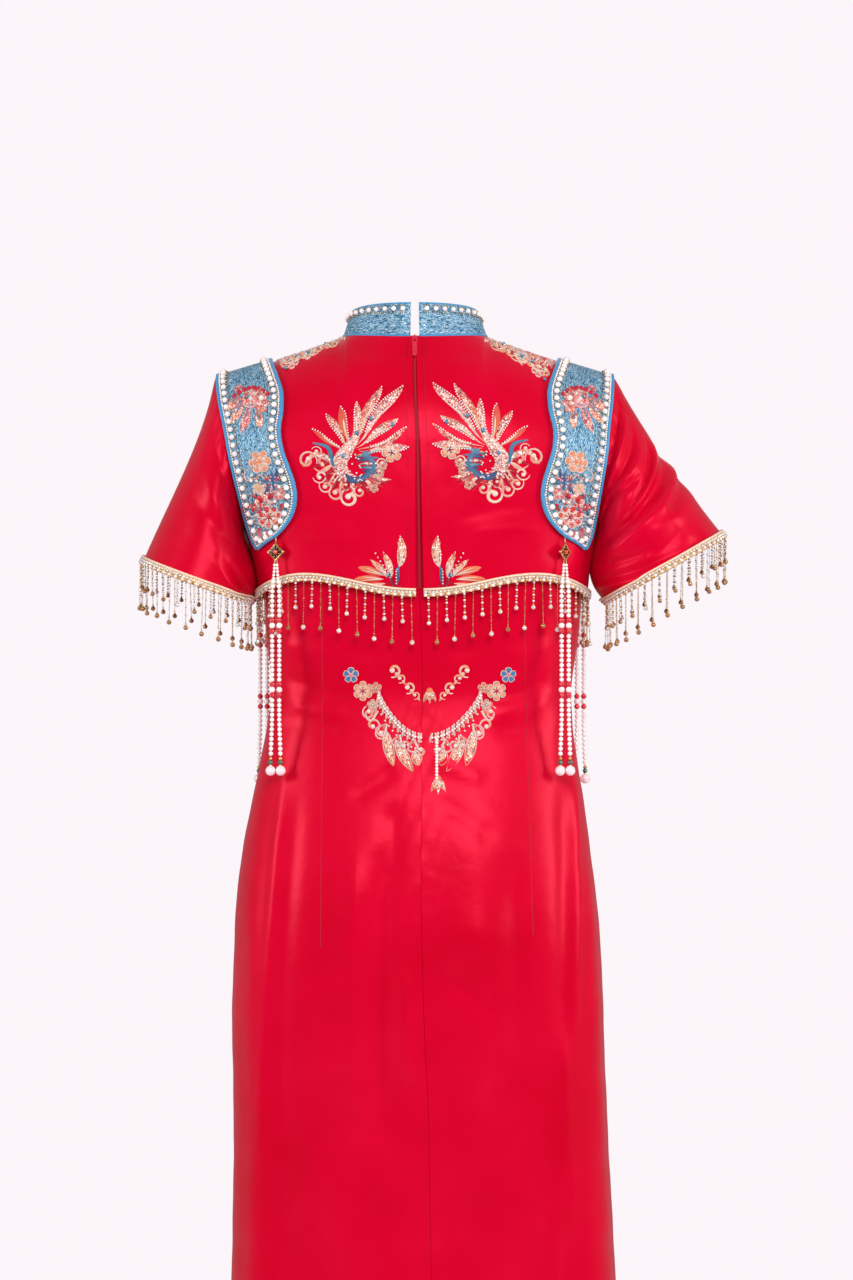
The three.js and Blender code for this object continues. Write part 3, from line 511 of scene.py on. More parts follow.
def sequin_fill():
    """Cup sequins and seed beads sewn edge to edge over floss, one every 2 mm: a mix of cream, pink,
    gold and a few red and blue that glitters unevenly. Each cup is darkened towards its rim by painted shade."""
    material, tree, shader = start_material("sequin_and_seed_bead_fill", {
        "Metallic": 0.25, "Roughness": 0.22, "Specular IOR Level": 0.6,
    })
    dye = add(tree, "ShaderNodeVertexColor", {"layer_name": "dye"})
    where = add(tree, "ShaderNodeUVMap", {"uv_map": "thread"})
    cups = add(tree, "ShaderNodeTexVoronoi", {"Scale": 1 / 2, "Randomness": 0.8},
               {"Vector": where.outputs["UV"]})
    split = add(tree, "ShaderNodeSeparateColor", {}, {"Color": cups.outputs["Color"]})
    sorts = add(tree, "ShaderNodeValToRGB", {"stops": [
        (0.0, "#fbe3d3"), (0.26, "#f4b08f"), (0.42, "#ffffff"), (0.56, "#e8745a"), (0.72, "#f6cdb6"),
        (0.86, "#c81e3e"), (0.955, "#4f8fae"),
    ]}, {"Fac": split.outputs["Red"]})
    sorts.color_ramp.interpolation = "CONSTANT"
    dyed = add(tree, "ShaderNodeMix", {"data_type": "RGBA", "blend_type": "MIX", 0: 0.62},
               {6: dye.outputs["Color"], 7: sorts.outputs["Color"]})
    # painted shade: each cup is darkened towards its rim, where it meets the next one
    edge = add(tree, "ShaderNodeValToRGB", {"stops": [(0.3, "#ffffff"), (0.7, "#b5615a")]},
               {"Fac": cups.outputs["Distance"]})
    painted_rim_shade = add(tree, "ShaderNodeMix", {"data_type": "RGBA", "blend_type": "MULTIPLY", 0: 0.7},
                 {6: dyed.outputs[2], 7: edge.outputs["Color"]})
    relief = add(tree, "ShaderNodeBump", {"Strength": 0.9, "Distance": 0.8 * MM, "invert": True},
                 {"Height": cups.outputs["Distance"]})
    link(tree, shader, {"Base Color": painted_rim_shade.outputs[2], "Normal": relief.outputs["Normal"]})
    return material


def mottled(name, stops, millimetres, settings, relief=0.2, detail=2.0):
    """A dyed, plated or glassy surface whose tone and height vary slightly over some millimetres."""
    material, tree, shader = start_material(name, settings)
    where = add(tree, "ShaderNodeTexCoord").outputs["Object"]
    mottle = add(tree, "ShaderNodeTexNoise", {"Scale": per_metre(millimetres), "Detail": detail},
                 {"Vector": where})
    tone = add(tree, "ShaderNodeValToRGB", {"stops": stops}, {"Fac": mottle.outputs["Fac"]})
    link(tree, shader, {"Base Color": tone.outputs["Color"]})
    if relief:
        bump = add(tree, "ShaderNodeBump", {"Strength": 0.3, "Distance": relief * MM},
                   {"Height": mottle.outputs["Fac"]})
        link(tree, shader, {"Normal": bump.outputs["Normal"]})
    return material


RED_SATIN = satin_weave()
BROCADE = lame_brocade()
# Glass beads dipped in pearl essence: white with a pink warmth, glossy over a soft body.
PEARL = mottled("imitation_pearl", [(0.35, "#f6e6e6"), (0.6, "#fffaf6")], 7.143, {
    "Roughness": 0.16, "Specular IOR Level": 0.6, "Coat Weight": 0.6, "Coat Roughness": 0.08,
    "Sheen Weight": 0.2, "Sheen Tint": rgba("#ffd8e6"),
}, 0, 1.0)
# Gold-plated brass, stamped and tumbled: warm, bright, with darker recesses.
GILT = mottled("gilt_metal", [(0.3, "#a8743c"), (0.55, "#d9b277"), (0.75, "#ecd3a4")], 2.381,
               {"Metallic": 1.0, "Roughness": 0.28}, 0)
CRYSTAL = cut_crystal("clear_cut_crystal", "#f6efe9")
BLUE_GEM = cut_crystal("blue_cut_glass", "#3f9bc9")
TOPAZ = cut_crystal("topaz_cut_glass", "#b27a45")
# Pressed red glass: smooth, bright and deep.
RED_GLASS = mottled("red_pressed_glass", [(0.3, "#bb0b26"), (0.65, "#e5102f")], 3.85,
                    {"Roughness": 0.14, "Coat Weight": 0.7})
# Tumbled rose quartz: white with a pink body, softly glossy.
ROSE_QUARTZ = mottled("rose_quartz", [(0.3, "#f6d3d8"), (0.65, "#fdeaec")], 5.56,
                      {"Roughness": 0.2, "Coat Weight": 0.5})
GREEN_GLASS = cut_crystal("green_cut_glass", "#1f6b4f")
STITCH = silk_stitch()
SEQUINS = sequin_fill()
# Rayon bias binding, folded and stitched: bright blue with a soft sheen.
BINDING = mottled("blue_rayon_binding", [(0.3, "#2280b4"), (0.65, "#3394c8")], 1.11,
                  {"Roughness": 0.45, "Sheen Weight": 0.3})
# Gimp, cotton twisted with metallised film: cream with gold glints.
GIMP = mottled("cream_and_gold_gimp", [(0.3, "#b9824e"), (0.65, "#f3d3ab")], 1.923,
               {"Roughness": 0.4, "Metallic": 0.25}, 0.6)
# Twisted viscose cord: cream, with a low gloss.
CREAM_CORD = mottled("cream_viscose_cord", [(0.3, "#dcb793"), (0.65, "#f9e4cd")], 1.25,
                     {"Roughness": 0.42}, 0.8)
# Red enamelled zinc, die cast: smooth and evenly glossy.
ENAMEL = mottled("red_enamelled_zinc", [(0.3, "#c41f3b"), (0.65, "#d62846")], 3.33,
                 {"Roughness": 0.25, "Coat Weight": 0.4})
# Spun polyester sewing thread dyed to the cloth: a shade darker, matt. Along the darts it is also laid as a
# dark line of painted shade in the seam's recess.
SEWING_THREAD_AND_SEAM_SHADE = mottled("red_sewing_thread_and_seam_shade", [(0.3, "#90001c"), (0.65, "#b40226")], 0.667, {"Roughness": 0.75})
# Black enamel fired in a gilt tray: deep and glassy.
BLACK_ENAMEL = mottled("black_fired_enamel", [(0.3, "#0e0a09"), (0.65, "#1d1512")], 2,
                       {"Roughness": 0.18, "Coat Weight": 0.6})
# Orange-red glass cabochon: smooth and glassy.
CORAL_GLASS = mottled("coral_glass_cabochon", [(0.3, "#c93218"), (0.65, "#f0532b")], 2.86,
                      {"Roughness": 0.12, "Coat Weight": 0.8})


# ---------------------------------------------------------------- cloth panels
# Creases in the cloth: face, from across, from z, to across, to z, bow, width, depth; a ridge is positive
DRESS_CREASES = [
    # ridges and troughs down the sides of the back, and the hollow beside the darts
    (1, 129, -420, 152, -860, -4, 5, 3.6),
    (1, 114, -440, 138, -840, -4, 7, -2.4),
    (1, -160, -420, -157, -740, 3, 4.5, 3.6),
    (1, -147, -440, -145, -730, 3, 7, -2.2),
    (1, -150, -740, -128, -1080, 3, 5, 2.4),
    # the seat, fuller right of the seam
    (1, -60, -450, -64, -650, 0, 36, 3.6),
    (1, -62, -560, -72, -790, 0, 30, 4.2),
    (1, -100, -520, -104, -770, 0, 13, -3.2),
    (1, 34, -500, 32, -850, 3, 11, -5.5),
    (1, 60, -500, 62, -820, 0, 14, 3.4),
    (1, 9, -630, 8, -760, 0, 8, 3.6),
    (1, 22, -470, 20, -570, 0, 12, -3),
    (1, -22, -640, -84, -690, 3, 13, -2.6),
    (1, -16, -470, -84, -520, 4, 11, -2),
    (1, 16, -440, 66, -474, 0, 8, -2),
    (1, -20, -430, -72, -456, 0, 9, 2),
    (1, -146, -690, -158, -920, 0, 7, 3.4),
    # the lower skirt
    (1, -30, -800, -38, -1220, 3, 26, -4.5),
    (1, 20, -880, 30, -1260, -3, 26, 4),
    (1, 98, -860, 96, -1270, 4, 20, -4.5),
    (1, 126, -900, 134, -1290, 0, 13, 3.6),
    (1, -90, -900, -98, -1290, 0, 24, 4),
    (1, -134, -1000, -140, -1290, 0, 13, -3.4),
    (1, 60, -960, 66, -1280, 0, 12, 2.4),
    # pulls at the waist
    (1, 62, -374, 136, -347, 3, 5, -2.6),
    (1, 64, -387, 141, -367, 3, 5, 2.4),
    (1, 70, -404, 143, -393, 0, 6, -2.2),
    (1, 84, -330, 138, -316, 0, 6, 2),
    (1, 34, -330, 80, -318, 0, 7, -1.6),
    (1, -66, -373, -138, -349, -3, 5, -2.6),
    (1, -70, -389, -143, -369, -3, 5, 2.4),
    (1, -76, -406, -145, -396, 0, 6, -2.2),
    (1, -84, -333, -140, -319, 0, 6, 2),
    (1, -30, -326, -76, -316, 0, 7, -1.6),
    # the front
    (-1, 76, -300, 78, -520, 0, 7, -1.6),
    (-1, -86, -300, -90, -520, 0, 7, -1.6),
    (-1, 50, -560, 66, -960, 4, 18, 4),
    (-1, -58, -560, -70, -940, -4, 18, -4),
    (-1, 4, -640, -8, -1160, 0, 20, 4),
    (-1, 112, -640, 124, -1240, 0, 14, -4),
    (-1, -118, -620, -128, -1200, 0, 14, 4),
    (-1, 30, -900, 34, -1280, 0, 14, -3.4),
    (-1, 60, -372, 130, -350, 3, 5, -2.4),
    (-1, 66, -386, 136, -368, 3, 5, 2.2),
    (-1, -70, -374, -138, -352, -3, 5, -2.4),
    (-1, -72, -390, -140, -372, -3, 5, 2.2),
    (-1, 30, -420, -50, -436, 3, 9, -2),
]
TOP_CREASES = [
    (1, 158, -150, 128, -246, 4, 8, -1.4),
    (1, 168, -168, 150, -250, 3, 6, 1.2),
    (1, -160, -150, -132, -240, -4, 8, -1.4),
    (1, -172, -176, -152, -250, -3, 6, 1.3),
    (1, -36, -194, -120, -178, 4, 7, -1.1),
    (1, -48, -208, -126, -202, 3, 7, 1.0),
    (1, 46, -198, 120, -186, -4, 8, -1.1),
    (1, 40, -216, 112, -210, 0, 8, 0.9),
    (1, 20, -22, 70, -14, 3, 6, -0.7),
    (1, -24, -24, -72, -16, -3, 6, -0.7),
    (1, 14, -40, 60, -34, 0, 7, 0.6),
    (1, -14, -44, -64, -38, 0, 7, 0.6),
    (1, 30, -100, 24, -170, 2, 9, -0.6),
    (1, -32, -100, -26, -176, -2, 9, -0.6),
    (-1, 158, -130, 104, -186, 4, 8, -2.8),
    (-1, -162, -130, -108, -186, -4, 8, -2.8),
    (-1, 150, -160, 92, -204, 4, 7, 2.2),
    (-1, -152, -160, -96, -204, -4, 7, 2.2),
    (-1, 132, -206, 96, -250, 3, 9, 2),
    (-1, -136, -206, -98, -250, -3, 9, -2),
    (-1, 40, -210, 20, -262, 0, 12, -1.6),
    (-1, -36, -206, -24, -262, 0, 12, 1.6),
]


def crest(t):
    """A fold's section: like a bell, but with a sharper top."""
    return np.exp(-np.abs(t) ** 1.6)


def crease_push(table, face, place, z):
    """How far creases raise or sink the cloth at places across and heights."""
    push = np.zeros_like(place + z)
    for side, x0, z0, x1, z1, bow, width, depth in table:
        run = np.array([x1 - x0, z1 - z0], float)
        length = np.hypot(*run)
        run /= length
        along = np.clip(((place - x0) * run[0] + (z - z0) * run[1]) / length, 0, 1)
        aside = (place - x0) * run[1] - (z - z0) * run[0] - bow * 4 * along * (1 - along)
        fade = smooth(along / 0.24) * smooth((1 - along) / 0.24)
        push = push + np.where(face == side, depth * fade * crest(aside / width), 0)
    return push


def pucker(along, aside, reach, height, wave, seed):
    """The uneven puckers that a seam draws in the cloth beside it."""
    ripple = np.sin(along / wave + seed) + 0.6 * np.sin(along / (wave * 0.43) + seed * 2.1)
    return height * ripple * bell(aside / reach)


NECK_TURN = math.asin((NECK["half_width"] / SHOULDER["half_width"]) ** (SQUARENESS / 2))


def turns_between(start, end, to_neck=26, to_side=35):
    """Turns from the centre to the side, with one of them exactly at the neck point."""
    half = np.concatenate([
        NECK_TURN * np.sin(np.linspace(0, TO_SIDE, to_neck)),
        np.linspace(NECK_TURN, TO_SIDE, to_side)[1:],
    ])
    both = np.concatenate([-half[:0:-1], half])
    return both[(both >= start - 1e-9) & (both <= end + 1e-9)]


def panel_places(face, turns, heights, rises, hem_parts=None):
    """x and z for the rows of a panel: its hem, its even heights, then the yoke."""
    xs, zs = [], []
    for part in (hem_parts if hem_parts is not None else []):
        share = np.abs(turns) / TO_SIDE
        hem = TOP_HEM["centre"] + TOP_HEM["hump"] * np.sin(math.pi * share ** TOP_HEM["hump_place"]) ** 2
        z = lerp(hem, ARMHOLE["bottom"], part)
        xs.append(section_at(z)[2] * across_at(turns))
        zs.append(z)
    for height in heights:
        z = np.full_like(turns, height)
        xs.append(section_at(z)[2] * across_at(turns))
        zs.append(z)
    foot = section_at(ARMHOLE["bottom"])[2]
    for rise in rises:
        reach = lerp(foot, SHOULDER["half_width"], rise ** ARMHOLE["curve"])
        xs.append(reach * across_at(turns))
        zs.append(lerp(ARMHOLE["bottom"], top_line(face, SHOULDER["half_width"] * across_at(turns)), rise))
    return np.array(xs), np.array(zs)


def panel_points(face, turns, x, z, out, slit_side=0, slit=None):
    point, normal = form_at(face, x, z)
    point = point + normal * out[..., None]
    point[..., 1] += face * SEAM_GAP / 2
    if slit_side:
        half = lerp(slit["neck"], slit["hem"], np.clip(z / TOP_HEM["centre"], 0, 1)) / 2
        point[..., 0] += slit_side * half * (1 - np.abs(across_at(turns)))
    return point


def side_turns(face, side):
    turns = turns_between(-TO_SIDE if side <= 0 else 0, TO_SIDE if side >= 0 else 0)
    return turns[::-1] if face > 0 else turns


RISES = (1 - np.cos(math.pi * np.linspace(0, 1, 44)[1:])) / 2
FINER_ABOVE = -640  # the folds above it are closer together
DRESS_HEIGHTS = np.concatenate([
    np.linspace(DRESS_HEM, FINER_ABOVE, 86),
    np.linspace(FINER_ABOVE, ARMHOLE["bottom"], 72)[1:],
])
SEWN = dict(neck=SEAM_GAP, hem=SEAM_GAP)
HALF_WIDTH = 190  # to turn a share across into millimetres from the side
UNDER_TOP = -250  # the top hides the dress above it
HEM_STITCHED = 24  # above the hem


def cloth_piece(node, points, faces, thickness):
    """A piece of satin in its node's place, with its thickness."""
    piece = make_piece(f"{node}_cloth", points, faces, [RED_SATIN], (node,))
    add_thickness(piece, thickness)


def dress_panel(node, face, side):
    turns = side_turns(face, side)
    every = 1 if face > 0 else 2
    x, z = panel_places(face, turns, DRESS_HEIGHTS[::every], RISES[::every])
    place = form_at(face, x, z)[0][..., 0]
    push = skirt_fold(face, turns[None, :], z) + crease_push(DRESS_CREASES, face, place, z)
    shown = smooth((UNDER_TOP - z) / 40)
    if face > 0:
        push = push + shown * pucker(z + 3 * x, np.abs(x) - 9, reach=8, height=0.55, wave=7, seed=1.3)
    from_side = (1 - np.abs(across_at(turns))[None, :]) * HALF_WIDTH
    push = push + shown * pucker(z, from_side - 12, reach=12, height=0.5, wave=16, seed=0.4)
    # the hem is turned up, so it's thick up to its stitching and drawn in there
    from_hem = z - DRESS_HEM
    push = push + 0.5 * bell((from_hem - 19) / 2.2) - 0.35 * bell((from_hem - HEM_STITCHED) / 2.5)
    push = push + pucker(x, from_hem, reach=26, height=0.6, wave=11, seed=2.0)
    points = panel_points(face, turns, x, z, push, side, SEWN)
    if face > 0:
        seam = points[:len(DRESS_HEIGHTS), 0 if side > 0 else -1] - (side * 0.4, SEAM_GAP / 2, 0)
        cords(f"{node}_side_seam", [seam], 0.5, RED_SATIN)
    cloth_piece(node, points, grid_faces(*x.shape), 0.8)


def top_panel(node, face, side):
    turns = side_turns(face, side)
    every = 1 if face > 0 else 2
    x, z = panel_places(face, turns, [], RISES[::every], np.linspace(0, 1, 40 // every))
    place = form_at(face, x, z)[0][..., 0]
    push = top_lift(face, x, z) + SATIN + crease_push(TOP_CREASES, face, place, z)
    if face > 0:
        # the facing along the back opening is stitched down, so the edge is thick and slightly wavy
        push = push + 0.25 * smooth((9 - np.abs(x)) / 2.5)
        push = push + pucker(z, np.abs(x) - 10, reach=7, height=0.25, wave=14, seed=0.7)
    from_side = (1 - np.abs(across_at(turns))[None, :]) * 180
    push = push + pucker(z, from_side, reach=14, height=0.3, wave=15, seed=1.9) * smooth((-60 - z) / 40)
    points = panel_points(face, turns, x, z, push, side, BACK_SLIT)
    cloth_piece(node, points, grid_faces(*x.shape), 0.9)


# ---------------------------------------------------------------- sleeves
# The hem ring's middle, its half width and half depth, its rise outwards and its front's drop
SLEEVES = {
    "left": dict(side=1, x=224.5, y=6, z=-256, half_width=59, half_depth=76, rise=20, front_drop=-8),
    "right": dict(side=-1, x=-257, y=10, z=-241, half_width=69, half_depth=74, rise=29, front_drop=-4),
}
# Folds in a sleeve, each on a curve through three spots: degrees from its top towards the back and the
# part of the way to the hem, three times, then the fold's width and depth; a ridge is positive
SLEEVE_FOLDS = {
    "left": [
        (52, 0.08, 92, 0.16, 140, 0.08, 7, -1.6), (40, 0.30, 96, 0.36, 150, 0.26, 12, 1.8),
        (56, 0.48, 108, 0.52, 165, 0.40, 10, -2.0), (98, 0.60, 128, 0.70, 165, 0.62, 9, 2.0),
        (112, 0.66, 138, 0.80, 164, 0.98, 6, -3.6), (100, 0.72, 124, 0.86, 146, 1.02, 7, 2.6),
        (300, 0.10, 256, 0.20, 216, 0.10, 8, -2.5), (318, 0.36, 262, 0.46, 206, 0.34, 10, 3.0),
        (306, 0.60, 252, 0.68, 200, 0.55, 9, -3.2), (300, 0.80, 258, 0.86, 214, 0.80, 10, 2.4),
    ],
    "right": [
        (34, 0.05, 74, 0.07, 110, 0.03, 3.6, -3.6), (38, 0.13, 80, 0.14, 114, 0.06, 4.2, 3.6),
        (42, 0.21, 86, 0.22, 126, 0.02, 3.8, -4.8), (46, 0.30, 88, 0.28, 132, 0.05, 4.6, 3.6),
        (72, 0.38, 96, 0.28, 144, 0.02, 3.6, -4.8), (98, 0.27, 130, 0.15, 166, 0.10, 4.0, -5.6),
        (30, 0.33, 62, 0.43, 108, 0.42, 3.2, -4.5), (14, 0.38, 70, 0.475, 114, 0.45, 3.6, 5.9),
        (-22, 0.40, 76, 0.53, 162, 0.34, 7.5, -9.1), (-16, 0.50, 70, 0.62, 154, 0.48, 8.5, 6.3),
        (-6, 0.60, 38, 0.65, 66, 0.67, 4.6, -6.4), (0, 0.70, 60, 0.74, 98, 0.66, 9, 3.6),
        (92, 0.78, 118, 0.75, 154, 0.58, 5.5, -4.2), (64, 0.81, 84, 0.85, 104, 0.83, 8, -3.6),
        (44, 0.94, 92, 0.92, 160, 0.76, 7, -5.0), (104, 1.02, 132, 0.90, 162, 0.84, 5, 3.1),
        (322, 0.06, 278, 0.10, 232, 0.04, 5, -4.2), (318, 0.22, 272, 0.25, 222, 0.12, 5, 4.2),
        (344, 0.38, 280, 0.50, 206, 0.36, 7, -6.4), (330, 0.52, 284, 0.60, 214, 0.48, 8, 5.0),
        (326, 0.66, 280, 0.72, 222, 0.66, 8, -4.2),
    ],
}
SLEEVE_LENGTH = 130
SLEEVE_DEGREE = 1.25  # how far a degree reaches round a sleeve
SLEEVE_STRAIGHT = 1.4
SLEEVE_START = 0.6
UNDERARM_LEAN = {"left": 8.0, "right": 11.0}  # how far the cloth lies in against the body


def armhole_ring(side, a):
    face = np.where(np.sin(a) >= -1e-9, 1, -1)
    rise = (1 + np.cos(a)) / 2
    foot = section_at(ARMHOLE["bottom"])[2]
    x = side * lerp(foot, SHOULDER["half_width"], rise ** ARMHOLE["curve"])
    z = lerp(ARMHOLE["bottom"], top_line(face, np.full_like(a, SHOULDER["half_width"])), rise)
    back, _ = on_top(1, x, z)
    front, _ = on_top(-1, x, z)
    point = np.where((face > 0)[:, None], back, front)
    point[:, 1] += np.where(np.abs(np.sin(a)) > 1e-6, face * SEAM_GAP / 2, 0)
    point[:, 0] += side * SLEEVE_START
    return point


def through_three(a, b, c, share):
    """A curve's value on its way from a through b, halfway, to c."""
    return a * (1 - share) * (1 - 2 * share) + b * 4 * share * (1 - share) + c * share * (2 * share - 1)


def sleeve_push(rows, degrees, part):
    """How far its folds push a sleeve's cloth, for parts of the way down and degrees round it."""
    push = np.zeros((len(part), len(degrees)))
    share = np.linspace(0, 1, 241)
    for a0, t0, a1, t1, a2, t2, width, depth in rows:
        turn = degrees[None, :, None] - through_three(a0, a1, a2, share)
        turn -= 360 * np.round(turn / 360)
        down = part[:, None, None] - through_three(t0, t1, t2, share)
        gap = np.hypot(turn * SLEEVE_DEGREE, down * SLEEVE_LENGTH)
        fade = np.sin(math.pi * share[gap.argmin(axis=2)]) ** 0.7
        push += depth * fade * crest(gap.min(axis=2) / width)
    return push


def sleeve_skin(which, around=160, steps=84):
    s = SLEEVES[which]
    side = s["side"]
    a = 2 * math.pi * np.arange(around) / around
    start = armhole_ring(side, a)
    tilt = math.radians(s["rise"])
    outward = np.array([side * math.cos(tilt), 0, math.sin(tilt)])
    hang = np.array([side * math.sin(tilt), 0, -math.cos(tilt)])
    end = np.array([s["x"], s["y"], s["z"]]) + np.cos(a)[:, None] * s["half_width"] * outward
    end[:, 1] += s["half_depth"] * np.sin(a)
    end[:, 2] -= s["front_drop"] * (1 - np.sin(a)) / 2
    up = (1 + np.cos(a)) / 2
    run = end - start
    length = np.linalg.norm(run, axis=1, keepdims=True)
    leave = np.stack([side * lerp(0.12, 0.75, up**0.7), 0.45 * np.sin(a), lerp(-1, -0.62, up)], axis=1)
    pull = SLEEVE_STRAIGHT * up[:, None]
    leave = unit(lerp(unit(leave), run / length, pull)) * length
    arrive = unit(lerp(run / length, hang, 0.6 - pull)) * length
    part = np.linspace(0, 1, steps)
    t = part[:, None, None]
    rings = (
        start * (2 * t**3 - 3 * t * t + 1) + leave * (t**3 - 2 * t * t + t)
        + end * (3 * t * t - 2 * t**3) + arrive * (t**3 - t * t)
    )
    away = unit(rings - rings.mean(axis=1, keepdims=True))
    push = sleeve_push(SLEEVE_FOLDS[which], np.degrees(a), part)
    # small gathers where the sleeve is set in
    gathers = 0.5 * np.sin(a * 34) + 0.5 * np.sin(a * 15 + 1)
    push += 0.8 * gathers[None, :] * bell((part[:, None] - 0.05) / 0.05)
    rings = rings + away * push[..., None]
    under = ((1 - np.cos(a)) / 2) ** 3
    rings[..., 0] -= side * UNDERARM_LEAN[which] * np.sin(math.pi * part**1.3)[:, None] ** 0.8 * under
    return rings


def sleeve_piece(which):
    rings = sleeve_skin(which)
    order = rings[:, ::-1] if SLEEVES[which]["side"] > 0 else rings
    cloth_piece(f"sleeve_{which}", order, grid_faces(*order.shape[:2], True), 0.9)


# ---------------------------------------------------------------- embroidery
def natural(values, spots):
    """A smooth line through values at 0, 1, 2 and so on (Catmull and Rom's spline)."""
    values = np.concatenate([[2 * values[0] - values[1]], values, [2 * values[-1] - values[-2]]])
    k = np.minimum(spots.astype(int), len(values) - 4)
    t = spots - k
    a, b, c, d = (values[k + step] for step in range(4))
    return b + 0.5 * t * (c - a + t * (2 * a - 5 * b + 4 * c - d + t * (3 * (b - c) + d - a)))


def small_beads(name, place, spots, radius, material, out=2.2):
    centres = place(spots[:, 0], spots[:, 1], np.full(len(spots), out))
    beads(name, centres, radius, material, shape=SEED)


class Needlework:
    """Gathers raised shapes sewn on one surface, set out from a root, then makes one piece of them.
    A shape's fill is 0 for floss and 1 for sequins."""

    def __init__(self, name, place, root=(0, 0)):
        self.name = name
        self.place = place
        self.root = np.array(root, float)
        self.points, self.faces, self.uv, self.dye, self.kinds = [], [], [], [], []
        self.count = 0

    def band(self, path, widths, height, tones, fill=0):
        """A crowned band along a path of (across, z), its colour running from one tone to another."""
        path = np.asarray(path, float)
        n = len(path)
        widths = np.broadcast_to(np.asarray(widths, float), (n,))
        along = np.gradient(path, axis=0)
        along /= np.maximum(np.linalg.norm(along, axis=1, keepdims=True), 1e-9)
        aside = np.stack([-along[:, 1], along[:, 0]], axis=1)
        half = [0.45, 0.86, 1] if widths.max() > 3 else [0.7, 1]
        across = np.array([-part for part in half[::-1]] + [0] + half)
        rise = np.sqrt(1 - across**2)
        columns = len(across)
        flat = path[:, None] + aside[:, None] * across[None, :, None] * widths[:, None, None] / 2 + self.root
        out = 0.1 + rise[None, :] * height * np.clip(widths / max(widths.max(), 1e-6), 0.25, 1)[:, None]
        points = self.place(flat[..., 0], flat[..., 1], out)
        run = np.concatenate([[0], np.cumsum(np.linalg.norm(np.diff(path, axis=0), axis=1))])
        shift = self.count * 0.37
        u = np.broadcast_to(run[:, None] + shift, (n, columns))
        v = across[None, :] * widths[:, None] / 2 + shift * 1.7
        share = (run / max(run[-1], 1e-6))[:, None, None]
        first, last = (np.array(rgba(t)[:3]) for t in tones)
        dye = np.broadcast_to(lerp(first, last, share), (n, columns, 3))
        quads = grid_faces(n, columns) + self.count
        self.points.append(points.reshape(-1, 3))
        self.uv.append(np.stack([u, v], axis=-1).reshape(-1, 2))
        self.dye.append(dye.reshape(-1, 3))
        self.faces.append(quads)
        self.kinds.append(np.full(len(quads), fill))
        self.count += n * columns

    def petal(self, root, angle, length, width, bend, tones, fill=0, height=1.0, blunt=0.6, sway=0,
              round_end=0.8):
        """A leaf, plume or petal from its root at an angle from upright, curving by bend degrees and
        swaying by sway degrees to both sides on its way."""
        t = np.linspace(0, 1, 15)
        heading = np.radians(angle + bend * t + sway * np.sin(2 * math.pi * t))
        steps = np.stack([np.sin(heading), np.cos(heading)], axis=1) * length / 14
        path = np.asarray(root, float) + np.concatenate([[[0, 0]], np.cumsum(steps, axis=0)[:-1]])
        profile = np.sin(math.pi * np.clip(t, 0.0, 1) ** blunt) ** round_end
        self.band(path, np.maximum(width * profile, 0.5), height, tones, fill)
        return path, np.stack([np.cos(heading), -np.sin(heading)], axis=1) * width / 2 * profile[:, None]

    def ribbon(self, through, widths, tones, fill=0, height=1.0):
        """A band through a few points, smooth between them."""
        through = np.asarray(through, float)
        spots = np.linspace(0, len(through) - 1, 8 * len(through))
        path = np.stack([natural(through[:, axis], spots) for axis in (0, 1)], axis=1)
        self.band(path, np.interp(spots, np.arange(len(widths)), widths), height, tones, fill)

    def curl(self, centre, radius, start, sweep, width, tones, height=0.9):
        """A tendril that starts thin, winds in and closes on a round end."""
        t = np.linspace(0, 1, 20)
        a = np.radians(start + sweep * t)
        r = radius * (1.65 - 1.3 * t)
        path = np.asarray(centre, float) + np.stack([r * np.sin(a), r * np.cos(a)], axis=1)
        self.band(path, width * (0.3 + 0.75 * t**0.8), height, tones)
        self.disc(path[-1], width * 0.72, height * 1.3, tones[0])

    def flower(self, centre, radius, petals, tones, heart, fill=0, turn=0.0):
        for k in range(petals):
            angle = turn + 360 * k / petals
            self.petal(centre, angle, radius, radius * 3.9 / petals, 0, tones, fill, 1.2, 1.5, 0, 0.5)
            self.petal(centre, angle, radius * 0.6, radius * 0.14, 0, (heart, heart), 0, 1.8)
            self.loop(centre, angle, radius, radius * 4.2 / petals, radius * 0.1, (IVORY, IVORY), 1.5)
        self.disc(centre, radius * 0.26, 2.0, heart)

    def disc(self, centre, radius, height, tone):
        run = np.linspace(-radius, radius, 7)
        path = np.asarray(centre, float) + np.stack([run, np.zeros(7)], axis=1)
        self.band(path, 2 * np.sqrt(np.clip(radius**2 - run**2, 0.02, None)), height, (tone, tone))

    def loop(self, root, angle, length, width, thread, tones, height=0.9):
        """A teardrop outline from its root, laid in one cord."""
        t = np.linspace(0, 1, 23)
        forward = length * np.sin(math.pi * t)
        aside = width / 2 * np.sin(2 * math.pi * t) * (0.55 + 0.45 * np.sin(math.pi * t))
        sine, cosine = math.sin(math.radians(angle)), math.cos(math.radians(angle))
        path = np.stack([forward * sine + aside * cosine, forward * cosine - aside * sine], axis=1)
        self.band(np.asarray(root, float) + path, thread, height, tones)

    def gems(self, label, spots, radius, material, out=2.2):
        """Small beads sewn among the stitches, in a piece of their own."""
        spots = np.array(spots, float) + self.root
        small_beads(f"{self.name}_{label}", self.place, spots, radius, material, out)

    def make(self):
        return make_piece(
            self.name, np.concatenate(self.points), np.concatenate(self.faces), [STITCH, SEQUINS], (),
            np.concatenate(self.uv), np.concatenate(self.dye), np.concatenate(self.kinds),
        )


CREAM, PEACH, PINK, CORAL = "#ffe3c4", "#fb9c78", "#fb929a", "#f05048"
GOLD_SILK, TEAL, SLATE, NAVY = "#f4bd74", "#1f7fa6", "#5f93b8", "#2b4180"
ROSE, WINE, IVORY, ORANGE = "#d3163c", "#a00c2c", "#fff6ee", "#fb9560"


def top_place(side):
    """Where needlework on the top's back lies, by distance from the middle towards one side."""
    def place(away, z, out):
        return on_top(1, side * np.asarray(away), z, out)[0]
    return place


